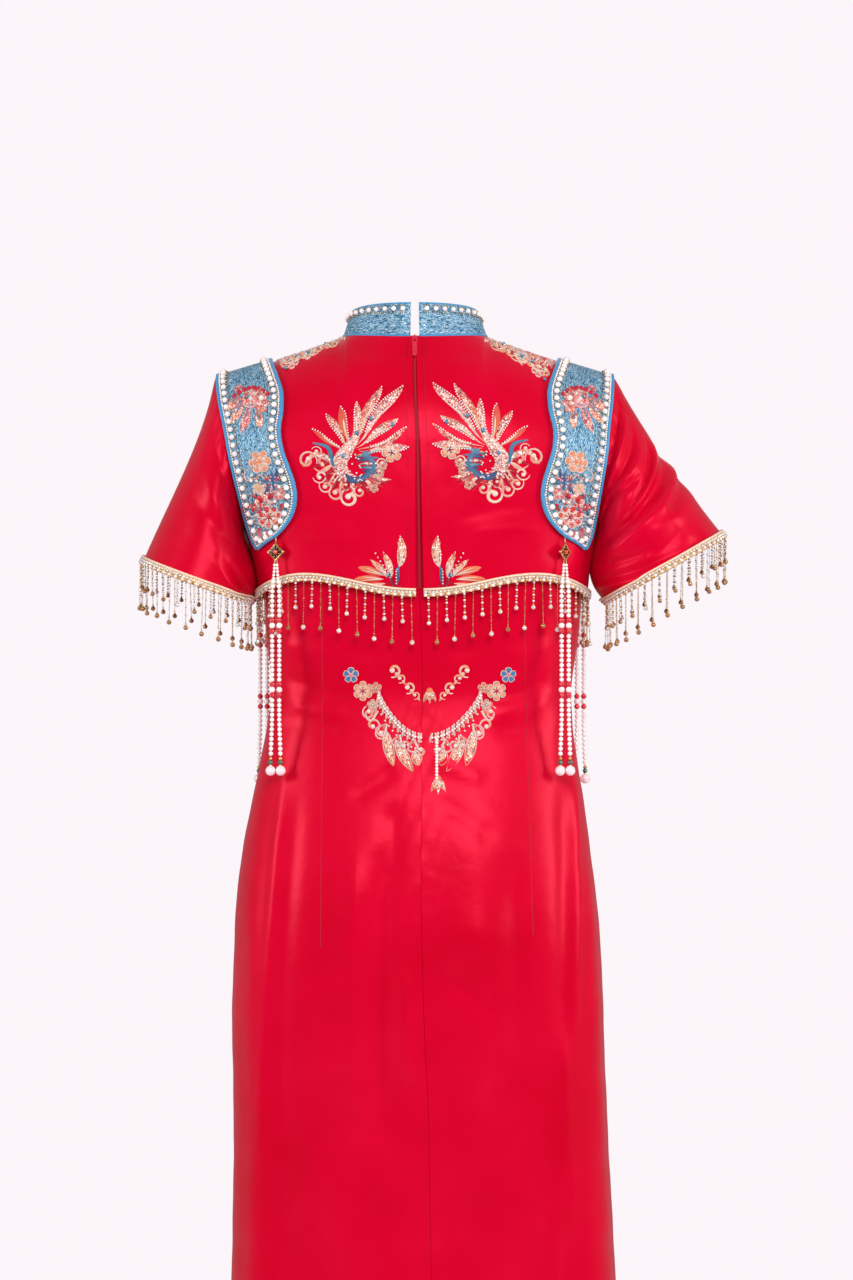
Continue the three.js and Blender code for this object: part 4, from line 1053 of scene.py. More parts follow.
# Plumes of the phoenix: angle from upright (inwards is negative), length, width, bend, sway
PLUMES = [
    (-94, 50, 8.0, 20, 10), (-78, 56, 5.0, 26, -8), (-66, 52, 8.6, 22, 12), (-52, 80, 9.6, 26, 16),
    (-36, 68, 9.2, 20, 14), (-14, 47, 7.6, 12, -8), (8, 44, 8.0, 6, 8), (30, 43, 7.6, -2, -8),
    (52, 42, 5.0, 8, 8),
]
# Tendrils round it: across, z, radius, start, sweep, width
TENDRILS = [
    (46, -14, 6.2, 250, 430, 3.6), (30, -16, 6.6, 120, 400, 3.4), (33, -30, 4.6, 100, 400, 3.0),
    (27, -40, 4.6, 60, 400, 3.2), (17, -47, 5.2, 20, 400, 3.6), (4, -52, 6.2, 10, 400, 4.2),
    (-6, -46, 4.2, -20, 380, 2.8), (-14, -38, 4.4, -60, 380, 3.0), (-24, -27, 3.8, -60, 380, 2.8),
    (8, -40, 4.0, 0, -380, 2.4), (20, -33, 3.8, 40, -380, 2.4), (-27, -18, 3.4, -80, 380, 2.4),
    (36, -6, 3.6, 60, -380, 2.4),
]


def phoenix(side, root):
    """A phoenix in flight with a fan of plumes, on the top's back."""
    work = Needlework(f"phoenix_embroidery_{SIDES[side]}", top_place(side), root)
    beading = []
    for k, (angle, length, width, bend, sway) in enumerate(PLUMES):
        tones = (ORANGE, CORAL) if k > 5 else [(IVORY, PINK), (PEACH, CORAL), (IVORY, PEACH)][k % 3]
        start = (1.5 * k - 6, -1.6 * abs(k - 3.5))
        fill = int(k < 6 or k == 7)
        path, half = work.petal(start, angle, length, width, bend, tones, fill, 1.3, 1.7, sway)
        work.petal(start, angle, length * 0.8, 2.0, bend * 0.8, (CREAM, IVORY), 0, 2.2, 1.2, sway * 0.8)
        beading += list(spaced((path + half * (1 if k % 2 else -1))[3:], 2.6))
    # breast, then the neck that turns up and the head that looks back
    breast = [(-4, 10), (6, -4), (14, -18), (8, -30), (-4, -34)]
    neck = [(12, -22), (2, -34), (-12, -31), (-20, -20), (-13, -9)]
    work.ribbon(breast, [7, 13, 16, 13, 6], (IVORY, PINK), 1, 2.2)
    work.ribbon(neck, [4, 7.5, 7, 5.5, 5], (NAVY, SLATE), 0, 2.4)
    work.disc((-12, -9), 3.8, 2.8, SLATE)
    work.petal((-14, -7), -34, 9, 2.6, 30, (ROSE, CORAL), 0, 2.3)
    work.petal((-9, -9), 96, 6, 2.2, 0, (GOLD_SILK, GOLD_SILK), 0, 2.3)
    for k in range(6):
        tones = [(TEAL, "#9cc4d8"), (NAVY, SLATE), (SLATE, IVORY)][k % 3]
        start = (-1 - 2 * k, -13 - 3 * k)
        work.petal(start, -64 - 8 * k, 25 - 2 * k, 3.8, -18, tones, int(k % 3 == 2), 1.9, 0.9)
    work.ribbon([(8, -30), (20, -18), (25, -2), (40, 3)], [2, 4.6, 4.4, 1.4], (TEAL, SLATE), 0, 1.9)
    work.ribbon([(12, -26), (27, -12), (40, -9), (50, -20)], [3, 6.4, 5.2, 2.4], (IVORY, PEACH), 1, 1.8)
    # petals and tail feathers under the body
    for k in range(11):
        tones = [(WINE, ROSE), (IVORY, PEACH), (CORAL, ROSE)][k % 3]
        start = (14 - 3.4 * k, -27 - 0.5 * k)
        work.petal(start, 118 + 13.5 * k, 24 - 1.1 * abs(k - 4), 4.6, 22, tones, int(k % 3 == 1), 1.4)
    for k in range(6):
        tones = [(ROSE, WINE), (CREAM, PINK)][k % 2]
        work.petal((22 - 2.4 * k, -16 - 3 * k), 96 + 12 * k, 22, 3.4, 30, tones, 0, 1.5)
    for k, (x, z, radius, start, sweep, width) in enumerate(TENDRILS):
        tones = [(IVORY, PEACH), (CREAM, PINK), (IVORY, CREAM)][k % 3]
        work.curl((x, z), radius, start, sweep, width, tones, 1.5)
    work.flower((-38, -7), 9.6, 5, (CREAM, ORANGE), WINE, 0, 20)
    for k in range(4):
        work.flower((-29 + 3 * k, -20 - 7.5 * k), 4.4, 5, (CREAM, ORANGE), ROSE, 0, 10 * k)
    work.make()
    work.gems("beads", beading, 0.85, PEARL, 1.6)
    work.gems("gems", [(-19, 26), (-40, 20), (-4, 12), (10, -10)], 2.3, BLUE_GEM, 2.6)
    turns = 0.42 * np.arange(34)
    studs = np.stack([2 + 11 * np.cos(turns) + 0.2 * turns, -22 + 13 * np.sin(1.7 * turns)], axis=1)
    work.gems("crystals", studs, 1.1, CRYSTAL, 2.6)
    rubies = [(26 - 5.5 * k, -34 - 9 * math.sin(0.45 * k)) for k in range(10)]
    work.gems("rubies", rubies, 1.2, RED_GLASS, 1.8)


# Leaves of the sprig: across, z, angle, length, width, bend, whether sequined
LEAVES = [
    (-6, 12, -18, 32, 9.6, 34, 1), (2, 2, 6, 27, 7.4, 24, 1), (6, 2, 34, 25, 6.4, 20, 1),
    (10, 4, 66, 28, 7.8, 14, 0), (10, 0, 84, 31, 6.8, 12, 0), (8, -4, 100, 26, 6.2, -6, 0),
]


def leaf_sprig(side, root):
    """A sprig of slim striped leaves near the top's hem."""
    work = Needlework(f"leaf_sprig_{SIDES[side]}", top_place(side), root)
    work.petal((-3, -6), -10, 22, 3.4, 8, (NAVY, SLATE), 0, 1.4)
    work.petal((1, -6), 12, 18, 3.0, 12, (WINE, NAVY), 0, 1.4)
    for x, z, angle, length, width, bend, fill in LEAVES:
        tones = (CREAM, PEACH) if fill else (CORAL, ORANGE)
        work.petal((x, z), angle, length, width, bend, tones, fill, 1.2, 0.85)
        for aside in (-1, 1):
            work.petal((x, z), angle + 5 * aside, length * 0.8, 1.5, bend, (IVORY, CREAM), 0, 1.8, 0.9)
    for k in range(4):
        work.curl((-6 + 6 * k, -7), 3.0, 120 * k, 300, 1.4, (ROSE, WINE))
    work.make()
    rows = [(3 + 2.4 * k, 2 + 4 * k) for k in range(7)] + [(-3, 3 * k - 4) for k in range(5)]
    work.gems("crystals", rows, 1.0, CRYSTAL, 1.8)
    work.gems("gems", [(-4, 10), (5, 4)], 1.5, BLUE_GEM, 1.8)


def shoulder_spray(side, face, reach):
    """Curls, petals and beads that run from the collar to the lappet along the shoulder seam."""
    def place(away, drop, out):
        # the cloth turns over at the seam, so a step along it there falls little
        away = np.asarray(away, float)
        fall = np.maximum(np.hypot(drop, 6.0) - 6.0, 0.05)
        return on_top(face, side * away, top_line(face, away) - fall, out)[0]

    work = Needlework(f"shoulder_spray_{SIDES[side]}_{FACES[face]}", place)
    beading = []
    for k in range(9):
        x = lerp(74, 132, k / 8)
        deep = 5 + reach * (0.35 + 0.65 * k / 8)
        tones = [(IVORY, PINK), (CREAM, PEACH), (PINK, CORAL), (IVORY, CREAM)][k % 4]
        angle = 122 + 30 * math.sin(1.7 * k)
        work.petal((x - 4, deep * 0.3 + 1), angle, 14 + deep * 0.5, 8, 26, tones, k % 2, 1.4, 1.1)
        work.curl((x, deep * 0.66), 4.4, 70 * k, 330 * (-1) ** k, 3.4, (CREAM, PEACH), 1.8)
        angle = 150 + 30 * math.sin(2.3 * k)
        work.loop((x - 3, deep * 0.5), angle, 6 + deep * 0.45, 8.5, 2.2, (IVORY, PEACH), 1.4)
        beading += [(x + 2 * math.cos(j), deep * 0.45 + 2.6 * j) for j in range(4)]
    for k in range(6):
        tones = [(ORANGE, CREAM), (CORAL, ROSE)][k % 2]
        work.petal((84 + 9 * k, 3 + reach * 0.06 * k), 116 + 5 * k, 19, 5.6, 18, tones, 0, 1.7)
    work.flower((108, 7 + reach * 0.3), 6.8, 5, (CREAM, ORANGE), NAVY)
    work.flower((124, 8 + reach * 0.6), 6.4, 5, (PINK, CORAL), CREAM)
    work.make()
    work.gems("crystals", beading, 1.0, CRYSTAL)
    work.gems("gems", [(108, 7 + reach * 0.3), (90, 8), (118, 6 + reach * 0.4), (130, 10 + reach * 0.8)], 2.0,
              BLUE_GEM)


# ---------------------------------------------------------------- lower-back garland
GARLAND_MIDDLE = -15.0
# Across, z, angle, length
GARLAND_LOOPS = ((52, -384, 120, 13), (43, -397, 140, 13), (30, -408, 160, 12), (16, -412, 176, 13))
GARLAND_LEAVES = ((44, -404, 188, 36), (34, -413, 204, 36), (14, -424, 186, 15))
# Across, z, radius, start
GARLAND_CURLS = ((61, -386, 4.4, 20), (57, -398, 4.8, 200), (48, -407, 4.0, 60), (25, -418, 3.6, 150),
                 (9, -424, 4.0, 20))
# Across, z, radius, petals, tones, heart
GARLAND_FLOWERS = (
    (67, -364, 9.6, 6, (CREAM, ORANGE), ROSE), (57, -378, 5.6, 5, (IVORY, PEACH), ROSE),
    (54, -361, 5.6, 5, (PEACH, ORANGE), ROSE), (79, -348, 7.6, 5, ("#1f4fa0", "#4a9cd6"), PINK),
)
# Name, height off the cloth, step above the line, radius, material
GARLAND_STRINGS = (("upper", 2.2, 3.3, 0.8, CRYSTAL), ("lower", 2.6, -0.4, 1.2, PEARL),
                   ("edge", 2.2, -4.4, 0.8, CRYSTAL))


def garland_place(side):
    def place(away, z, out):
        return on_dress(1, GARLAND_MIDDLE + side * np.asarray(away), z, out)[0]
    return place


def garland_half(side):
    """A lace-like swag of loops and leaves under strings of pearls."""
    place = garland_place(side)
    work = Needlework(f"garland_embroidery_{SIDES[side]}", place)
    t = np.linspace(0, 1, 13)
    line = np.stack([lerp(52, 7 if side > 0 else 1, t), -367 - 44 * np.sin(t * TO_SIDE) ** 0.8], axis=1)
    for x, z, tilt, length in GARLAND_LOOPS:
        work.loop((x, z), tilt, length, 11, 2.4, (IVORY, PINK), 1.5)
        work.petal((x, z), tilt, length * 0.6, 3.4, 8, (PEACH, CORAL), 0, 1.5)
    for x, z, radius, start in GARLAND_CURLS:
        work.curl((x, z), radius, start, 340, 3.3, (IVORY, PEACH), 1.7)
    for x, z, angle, length in GARLAND_LEAVES:
        path, half = work.petal((x, z), angle, length, 10.0, 10, (CREAM, PEACH), 1, 1.6, 0.9)
        work.petal((x, z), angle + 2, length * 0.8, 2.2, 8, (IVORY, GOLD_SILK), 0, 2.2, 0.9)
        for edge in (half, -half):
            work.band(path + edge, 1.3, 1.8, (IVORY, PEACH))
    for x, z, radius, petals, tones, heart in GARLAND_FLOWERS:
        work.flower((x, z), radius, petals, tones, heart)
    # paired scrolls above
    for x, z, size in ((36, -343, 4.6), (29, -351, 3.2), (21, -360, 4.2), (14, -368, 2.8)):
        work.curl((x, z), size, 160, 300, size * 0.8, (IVORY, ORANGE), 1.6)
        work.petal((x - 2, z - 2), 200, size * 2, size * 0.9, 30, (CREAM, CORAL), 0, 1.5)
    # a rope of slanting petals under the strings
    rope = spaced(line, 3.0)
    for k, (x, z) in enumerate(rope):
        tones = [(IVORY, PINK), (IVORY, CREAM)][k % 2]
        work.petal((x, z + 5), 166 if k % 2 else 194, 11, 3.0, 0, tones, 0, 2.0, 1.0, 0, 0.4)
    work.make()
    for label, lift, step, radius, material in GARLAND_STRINGS:
        centres = place(rope[:, 0], rope[:, 1] + step, np.full(len(rope), lift))
        beads(f"garland_strings_{SIDES[side]}_{label}", centres, radius, material, "pearl_strings")
    spots = np.array([(x, z - 12) for x, z in line[:12]] + [(57, -378), (54, -361)])
    small_beads(f"garland_crystals_{SIDES[side]}", place, spots, 1.25, CRYSTAL, 1.9)


def garland():
    """Two swags, with a bead drop between them."""
    for side in (1, -1):
        garland_half(side)
    place = garland_place(1)
    drop_z = np.arange(-413, -452, -3.2)
    centres = place(np.full(len(drop_z), -7.0), drop_z, np.full(len(drop_z), 2.0))
    beads("garland_drop_pearls", centres, 1.7, PEARL, "pearl_strings")
    work = Needlework("garland_bell", place)
    for x, top, size in ((0.0, -364, 13), (-8.5, -452, 15)):
        for angle in (-38, 0, 38):
            work.petal((x, top), 180 + angle, size, 5.6, -angle * 0.5, (CREAM, PEACH), 1, 2.0)
            work.petal((x, top), 180 + angle * 0.5, size * 0.7, 2.6, 0, (IVORY, CREAM), 0, 2.6)
        work.disc((x, top), 3.4, 2.8, ORANGE)
    work.make()


# ---------------------------------------------------------------- shoulder lappets
# inner edge, its z, outer edge, its z
LAPPET_EDGES = np.array([
    (138, -46, 200, -58), (132, -64, 197, -74), (132, -84, 193.5, -90), (135, -103, 190.5, -106),
    (133, -121, 187.5, -123), (127, -139, 183.5, -141), (122, -154, 180, -156), (120, -170, 176, -172),
    (124, -187, 172, -188), (136, -203, 167.5, -204), (151, -213, 163.5, -214), (157, -218, 161, -218.5),
], dtype=float)
LAPPET_AT_SEAM = (146, 203)


def lappet_edges(fine=5):
    """The edges' rows, from the shoulder seam to the tip, smoothed between the table's rows."""
    ridge = np.array([LAPPET_AT_SEAM[0], float(top_line(1, LAPPET_AT_SEAM[0])),
                      LAPPET_AT_SEAM[1], float(top_line(1, LAPPET_AT_SEAM[1]))])
    # rows close together where the cloth turns over at the seam
    shares = (0, 0.03, 0.07, 0.12, 0.19, 0.29, 0.41, 0.55, 0.76)
    knots = np.concatenate([[lerp(ridge, LAPPET_EDGES[0], share) for share in shares], LAPPET_EDGES])
    out = []
    for i in range(len(knots) - 1):
        a, b, c, d = (knots[min(max(i + k, 0), len(knots) - 1)] for k in (-1, 0, 1, 2))
        steps = 2 if i < len(shares) - 1 else fine
        for t in np.arange(steps) / steps:
            out.append(0.5 * (2 * b + (c - a) * t + (2 * a - 5 * b + 4 * c - d) * t**2
                              + (3 * b - a - 3 * c + d) * t**3))
    out.append(knots[-1])
    return np.array(out)


def lappet_point(face, side, edges, part, out):
    """A point on the lappet, part of the way from its inner to its outer edge."""
    x = lerp(edges[:, 0], edges[:, 2], part)
    z = lerp(edges[:, 1], edges[:, 3], part)
    z[0] = top_line(face, x[0])
    return on_top(face, side * x, z, out)[0]


def lappet_piece(side):
    """A stiff lappet, crowned over its edges, from the back over the shoulder to the front."""
    which = SIDES[side]
    edges = lappet_edges()
    parts = np.concatenate([[0, 0.012], np.linspace(0.03, 0.97, 26), [0.988, 1]])
    crown = np.concatenate([[0.5, 0.86], np.ones(26), [0.86, 0.5]])

    def over_shoulder(lifts):
        halves = []
        for face in (1, -1):
            lines = [lappet_point(face, side, edges, part, lift) for part, lift in zip(parts, lifts)]
            halves.append(np.stack(lines, axis=1))
        return np.concatenate([halves[0][::-1], halves[1][1:]])

    top = over_shoulder(LAPPET["gap"] + LAPPET["thickness"] * crown)
    bottom = over_shoulder(np.full_like(crown, LAPPET["gap"]))
    n, m = top.shape[:2]
    run = np.concatenate([[0], np.cumsum(np.linalg.norm(np.diff(top[:, m // 2], axis=0), axis=1))])
    wide = np.linalg.norm(top - top[:, :1], axis=2)
    uv = np.stack([np.broadcast_to(run[:, None], (n, m)), wide], axis=-1)
    if side > 0:
        top, bottom, uv = top[:, ::-1], bottom[:, ::-1], uv[:, ::-1]
    faces = grid_faces(n, m).tolist() + (grid_faces(n, m)[:, ::-1] + n * m).tolist()
    rim = [r * m for r in range(n)] + [(n - 1) * m + c for c in range(1, m)]
    rim += [r * m + m - 1 for r in range(n - 2, -1, -1)] + list(range(m - 2, 0, -1))
    for a, b in zip(rim, rim[1:] + rim[:1]):
        faces.append([a, b, b + n * m, a + n * m])
    points = np.concatenate([top.reshape(-1, 3), bottom.reshape(-1, 3)])
    make_piece(f"shoulder_lappet_{which}", points, faces, [BROCADE], (f"lappet_{which}",),
               np.concatenate([uv.reshape(-1, 2)] * 2))
    trim_lappet(side, edges)
    for face in (1, -1):
        lappet_motifs(side, face)


def inset_line(edges, which, distance):
    """The lappet's inner or outer edge moved in by a distance, narrowing towards the tip."""
    width = np.hypot(edges[:, 2] - edges[:, 0], edges[:, 3] - edges[:, 1])
    share = np.clip(distance / np.maximum(width, 1e-6), 0, 0.5)
    return share if which == "inner" else 1 - share


def trim_lappet(side, edges):
    """Blue binding on the edge, then seed beads, a row of pearls, and gilt beads beside them."""
    which = SIDES[side]
    lift = LAPPET["gap"] + LAPPET["thickness"]
    # how far in from the edge, and how far off the brocade
    rows = {"binding": (1.4, -0.4), "seeds": (4.0, 0.6), "pearls": (8.2, 2.0), "gilt_outer": (5.6, 0.6),
            "gilt_inner": (11.2, 0.8)}
    lines = {kind: [] for kind in rows}
    for edge in ("inner", "outer"):
        for kind, (inset, out) in rows.items():
            share = inset_line(edges, edge, inset)
            half = [lappet_point(face, side, edges, share, lift + out) for face in (1, -1)]
            lines[kind].append(np.concatenate([half[0][::-1], half[1][1:]]))
    pearls = np.concatenate([spaced(line[6:-6], 8.8) for line in lines["pearls"]])
    beads(f"lappet_pearls_{which}", pearls, 2.9, PEARL, "pearl_strings", ROUND)
    seeds = np.concatenate([spaced(line[3:-3], 2.7) for line in lines["seeds"]])
    beads(f"lappet_seed_beads_{which}", seeds, 1.2, PEARL, shape=SEED)
    glints = [spaced(line[6:-6], 4.4) for line in lines["gilt_outer"] + lines["gilt_inner"]]
    beads(f"lappet_gilt_beads_{which}", np.concatenate(glints), 1.05, GILT, shape=SEED)
    cords(f"lappet_binding_{which}", lines["binding"], 1.9, BINDING, 8)


def lappet_motifs(side, face):
    """Flowers, leaves, a winged spray and curls on a lappet, in a column down its middle."""
    lift = LAPPET["gap"] + LAPPET["thickness"]

    def place(away, z, out):
        return on_top(face, side * np.asarray(away), z, lift + out)[0]

    work = Needlework(f"lappet_embroidery_{SIDES[side]}_{FACES[face]}", place)
    # a winged spray below the shoulder
    for k, angle in enumerate((-128, -96, -62, -30, 0, 30, 60)):
        tones = [(PINK, CORAL), (IVORY, PINK), (CORAL, ROSE)][k % 3]
        work.petal((161, -76), angle, 19 - abs(k - 3), 8.5, 20, tones, 1, 1.5, 1.1)
    for k, (x, z, angle, length) in enumerate(((172, -72, 158, 27), (166, -76, 172, 30), (176, -66, 146, 20),
                                               (158, -82, 196, 20), (170, -60, 96, 12))):
        tones = [(CORAL, CREAM), (PINK, CORAL), (ROSE, PEACH)][k % 3]
        work.petal((x, z), angle, length, 9.0, -16, tones, 1, 1.6, 1.1)
        work.petal((x, z), angle + 2, length * 0.75, 2.4, -14, ("#9a8fb4", SLATE), 0, 2.1, 1.1)
    for k in range(8):
        work.disc((147 + 4.8 * k, -60 - 0.55 * (k - 3.5) ** 2), 2.5, 2.2, ROSE)
    work.curl((163, -73), 6.5, 0, 380, 3.4, (IVORY, PINK), 2.2)
    work.disc((153, -71), 3.4, 2.6, IVORY)
    # a rose
    for radius, tones in ((10.5, (ORANGE, PEACH)), (7.6, (CORAL, CREAM)), (4.6, (ORANGE, GOLD_SILK))):
        work.flower((155, -133), radius, 6, tones, ORANGE, 0 if radius > 9 else 1, radius * 9)
    work.curl((155, -133), 7.5, 30, 500, 2.2, (CREAM, ORANGE), 2.4)
    for k in range(4):
        tones = [(IVORY, PEACH), (SLATE, TEAL)][k % 2]
        work.curl((165 - 4 * k, -146 - 2 * k), 4.6, 90 * k, 300, 2.2, tones, 1.6)
    # a blue and violet spray over red ones
    for k in range(11):
        tones = [(NAVY, SLATE), ("#8a6aa0", NAVY), (SLATE, TEAL)][k % 3]
        work.petal((143, -154), 33 * k, 13, 5.4, 24, tones, k % 2, 1.7)
    work.flower((156, -158), 6.4, 6, (ORANGE, CREAM), GOLD_SILK)
    for k in range(10):
        tones = [(ROSE, WINE), (IVORY, PINK), (CORAL, ROSE), (SLATE, IVORY)][k % 4]
        start = (154 - 5 * math.sin(k), -171 - 3 * math.cos(2 * k))
        work.petal(start, 36 * k, 12, 5.2, 20, tones, k % 2, 1.8)
    work.flower((137, -165), 6.4, 5, (ROSE, PINK), IVORY)
    for k in range(7):
        tones = [(ROSE, CORAL), (SLATE, IVORY)][k % 2]
        work.curl((136 + 5.0 * k, -177 - 2.4 * (k % 3)), 4.6, 70 * k, 290, 2.6, tones, 1.8)
    work.flower((146, -187), 11.5, 7, (ROSE, CORAL), WINE, 0, 20)
    work.flower((146, -187), 7.0, 6, (WINE, PINK), CREAM, 1, 50)
    work.curl((146, -187), 8.5, 0, 420, 2.0, (PINK, CREAM), 2.6)
    for k in range(5):
        tones = [(TEAL, IVORY), (ROSE, PINK)][k % 2]
        work.petal((158 - 2 * k, -196 - 1.5 * k), 150 + 24 * k, 11, 4.6, 20, tones, 0, 1.5)
    work.make()
    work.gems("gems", [(166, -70), (143, -154), (136, -178), (163, -180), (162, -197)], 2.1, BLUE_GEM)
    work.gems("rubies", [(148, -150), (154, -171), (146, -187), (160, -165)], 1.9, RED_GLASS)
    crystals = [(x, z) for x in np.linspace(140, 164, 7) for z in (-66, -148, -163, -176, -196)]
    work.gems("crystals", crystals, 1.0, CRYSTAL, 2.0)
    pearls = [(153, -71), (163, -150), (140, -172), (165, -190), (136, -158), (150, -203)]
    work.gems("pearls", pearls, 2.0, PEARL, 2.0)


# ---------------------------------------------------------------- stand collar
COLLAR = dict(thickness=2.7, foot=3.6, gap=9, back=31, side=20, front=32, lean=6.5, length=440)


def collar_ring(angles, up, out):
    """Points round the collar at a share of its height, out from its middle by a distance."""
    face = np.where(np.cos(angles) >= 0, 1, -1)
    x = NECK["half_width"] * np.sin(angles)
    point = np.stack([x, face * neck_depth(face, x), top_line(face, x * 0.99999)], axis=1)
    to_back = np.cos(angles)
    tall = lerp(COLLAR["side"], np.where(to_back > 0, COLLAR["back"], COLLAR["front"]), np.abs(to_back))
    outward = np.stack([np.sin(angles), np.cos(angles), np.zeros_like(angles)], axis=1)
    point = point + outward * (out - COLLAR["lean"] * np.asarray(up))[..., None]
    point[:, 2] += COLLAR["foot"] + tall * up
    return point


def collar():
    half_gap = math.asin(COLLAR["gap"] / 2 / NECK["half_width"])
    angles = np.linspace(2 * math.pi - half_gap, half_gap, 181)
    half = COLLAR["thickness"] / 2
    # a share of the height, then how far out from the middle of the wall
    section = [(-0.13, 0.4 - half), (-0.13, half + 0.3), (0.0, half + 0.1), (0.3, half), (0.6, half),
               (0.9, half), (0.97, half), (1, half - 0.5), (1, 0.5 - half), (0.97, -half), (0.5, -half)]
    rings = np.stack([collar_ring(angles, up, np.full_like(angles, out)) for up, out in section])
    count, last = len(angles), (len(section) - 1) * len(angles)
    closing = [[last + c, last + c + 1, c + 1, c] for c in range(count - 1)]
    rim = [r * count for r in range(len(section))]
    ends = [rim, [r + count - 1 for r in reversed(rim)]]
    run = np.broadcast_to(np.linspace(0, COLLAR["length"], count)[None], rings.shape[:2])
    rise = np.broadcast_to(np.array([s[0] for s in section])[:, None] * COLLAR["back"], rings.shape[:2])
    faces = grid_faces(len(section), count).tolist() + closing + ends
    make_piece("stand_collar_brocade", rings, faces, [BROCADE], ("stand_collar",),
               np.stack([run, rise], axis=-1).reshape(-1, 2))
    inner = np.linspace(2 * math.pi - half_gap * 1.7, half_gap * 1.7, 400)
    pearl_line = collar_ring(inner, 0.82, np.full_like(inner, half + 1.7))
    beads("collar_pearls", spaced(pearl_line, 9.4), 2.6, PEARL, "pearl_strings", ROUND)
    for share, name in ((0.93, "upper"), (0.7, "lower")):
        row = spaced(collar_ring(inner, share, np.full_like(inner, half + 0.7)), 4.7)
        beads(f"collar_gilt_beads_{name}", row, 1.0, GILT, shape=SEED)
    edges = [collar_ring(angles, 1.0, np.zeros_like(angles)),
             collar_ring(angles, -0.09, np.full_like(angles, half))]
    cords("collar_binding", edges, 1.3, BINDING)


# ---------------------------------------------------------------- braids and fringes
TRIM = dict(height=7, thickness=2.6, gap=0.4, overhang=1)
STRAND = dict(pitch=9, short=28, long=48, step_short=3.1, step_long=2.0)
# Radii of the beads on a strand
STRUNG = dict(link=0.66, knot=0.95, gilt=1.1, crystal=1.55, cap=1.5, short_drop=2.3, long_drop=2.5)


def edge_frame(hem, above, loop):
    """The ways up along the cloth and out from it, for each point of a hem."""
    around = (np.roll(hem, -1, 0) - np.roll(hem, 1, 0)) if loop else np.gradient(hem, axis=0)
    up = unit(above - hem)
    return up, unit(np.cross(around, up))


def fringe(name, hem, above, loop=False, light_drops=True):
    """A gimp braid with a cord and two rows of beads, crystal chains and gilt chains with drops."""
    up, out = edge_frame(hem, above, loop)
    low, high = -TRIM["overhang"], TRIM["height"]
    near, far = TRIM["gap"], TRIM["gap"] + TRIM["thickness"]
    section = [(low, near), (low, far - 0.8), (low + 0.8, far - 0.3), (low + 2.6, far - 0.2), (3, far - 1.0),
               (high - 2.6, far - 0.4), (high - 0.8, far - 0.3), (high, far - 1.2), (high, near)]
    rings = np.stack([hem + up * rise + out * away for rise, away in section])
    count = len(hem)
    faces = grid_faces(len(section), count, loop).tolist()
    last = (len(section) - 1) * count
    for c in range(count if loop else count - 1):
        faces.append([last + c, last + (c + 1) % count, (c + 1) % count, c])
    if not loop:
        faces.append([r * count for r in range(len(section))])
        faces.append([r * count + count - 1 for r in range(len(section) - 1, -1, -1)])
    make_piece(f"{name}_braid", rings, faces, [GIMP], (name,))

    def row(rise, away, pitch):
        return spaced(hem + up * rise + out * away, pitch, loop)

    cord = [hem + up * (high - 0.6) + out * (far - 0.2)]
    if loop:
        cord[0] = np.concatenate([cord[0], cord[0][:1]])
    cords(f"{name}_braid_cord", cord, 1.25, CREAM_CORD)
    beads(f"{name}_braid_crystals", row(3.4, far - 0.2, 3.8), 1.5, CRYSTAL)
    cups = row(0.5, far - 0.3, 3.8)
    beads(f"{name}_braid_pearls", cups[::2], 1.6, PEARL)
    beads(f"{name}_braid_gilt_beads", cups[1::2], 1.5, GILT)

    roots = row(low, (near + far) / 2, STRAND["pitch"])
    made = {"crystal_chains": [], "gilt_chains": [], "crystal_drops": [], "topaz_drops": []}
    for k, root in enumerate(roots):
        sway = np.array([random.uniform(-0.7, 0.7), random.uniform(-0.5, 0.5), 0])
        long = k % 2 == 1
        length = (STRAND["long"] if long else STRAND["short"]) - random.uniform(3.2, 5.4)
        step = STRAND["step_long"] if long else STRAND["step_short"]
        for j, down in enumerate(np.arange(1.2, length, step)):
            spot = root + sway * down / 20 + (0, 0, -down)
            if long:
                made["gilt_chains"].append((spot, STRUNG["link" if j % 4 else "knot"]))
            elif j % 2:
                made["gilt_chains"].append((spot, STRUNG["gilt"]))
            else:
                made["crystal_chains"].append((spot, STRUNG["crystal"]))
        foot = root + sway * length / 20 + (0, 0, -length)
        made["gilt_chains"].append((foot, STRUNG["cap"]))
        dark = k % 4 == 1 if light_drops else k % 8 != 2
        drop = (foot + (0, 0, -2.0), STRUNG["long_drop" if long else "short_drop"])
        made["topaz_drops" if dark else "crystal_drops"].append(drop)
    for kind, material in (("crystal_chains", CRYSTAL), ("gilt_chains", GILT), ("crystal_drops", CRYSTAL),
                           ("topaz_drops", TOPAZ)):
        spots, radii = zip(*made[kind])
        beads(f"{name}_{kind}", spots, radii, material, shape=SEED if "chains" in kind else bead_shape())


def top_fringe(name, face, side):
    turns = side_turns(face, side)
    x, z = panel_places(face, turns, [], [], np.array([0, 0.12]))
    points = panel_points(face, turns, x, z, top_lift(face, x, z) + SATIN, side, BACK_SLIT)
    fringe(name, points[0], points[1])


def sleeve_fringe(which):
    rings = sleeve_skin(which)
    hem, above = rings[-1], rings[-4]
    if SLEEVES[which]["side"] < 0:
        hem, above = hem[::-1], above[::-1]
    fringe(f"fringe_sleeve_{which}", hem, above, True, False)


# ---------------------------------------------------------------- tassels
TASSEL = dict(cord=6, plaque=20, plaque_thickness=2.6, apart=4, end_apart=5.4, strung=196, groups=(58, 122),
              group=14.5)
# face, side, across, z, turn of the plaque in degrees
TASSELS = {
    "back_left": (1, 1, 141, -206.8, 22),
    "back_right": (1, -1, 141, -206.8, -52),
    "front_left": (-1, 1, 159.5, -218.5, 128),
    "front_right": (-1, -1, 159.5, -218.5, -128),
}


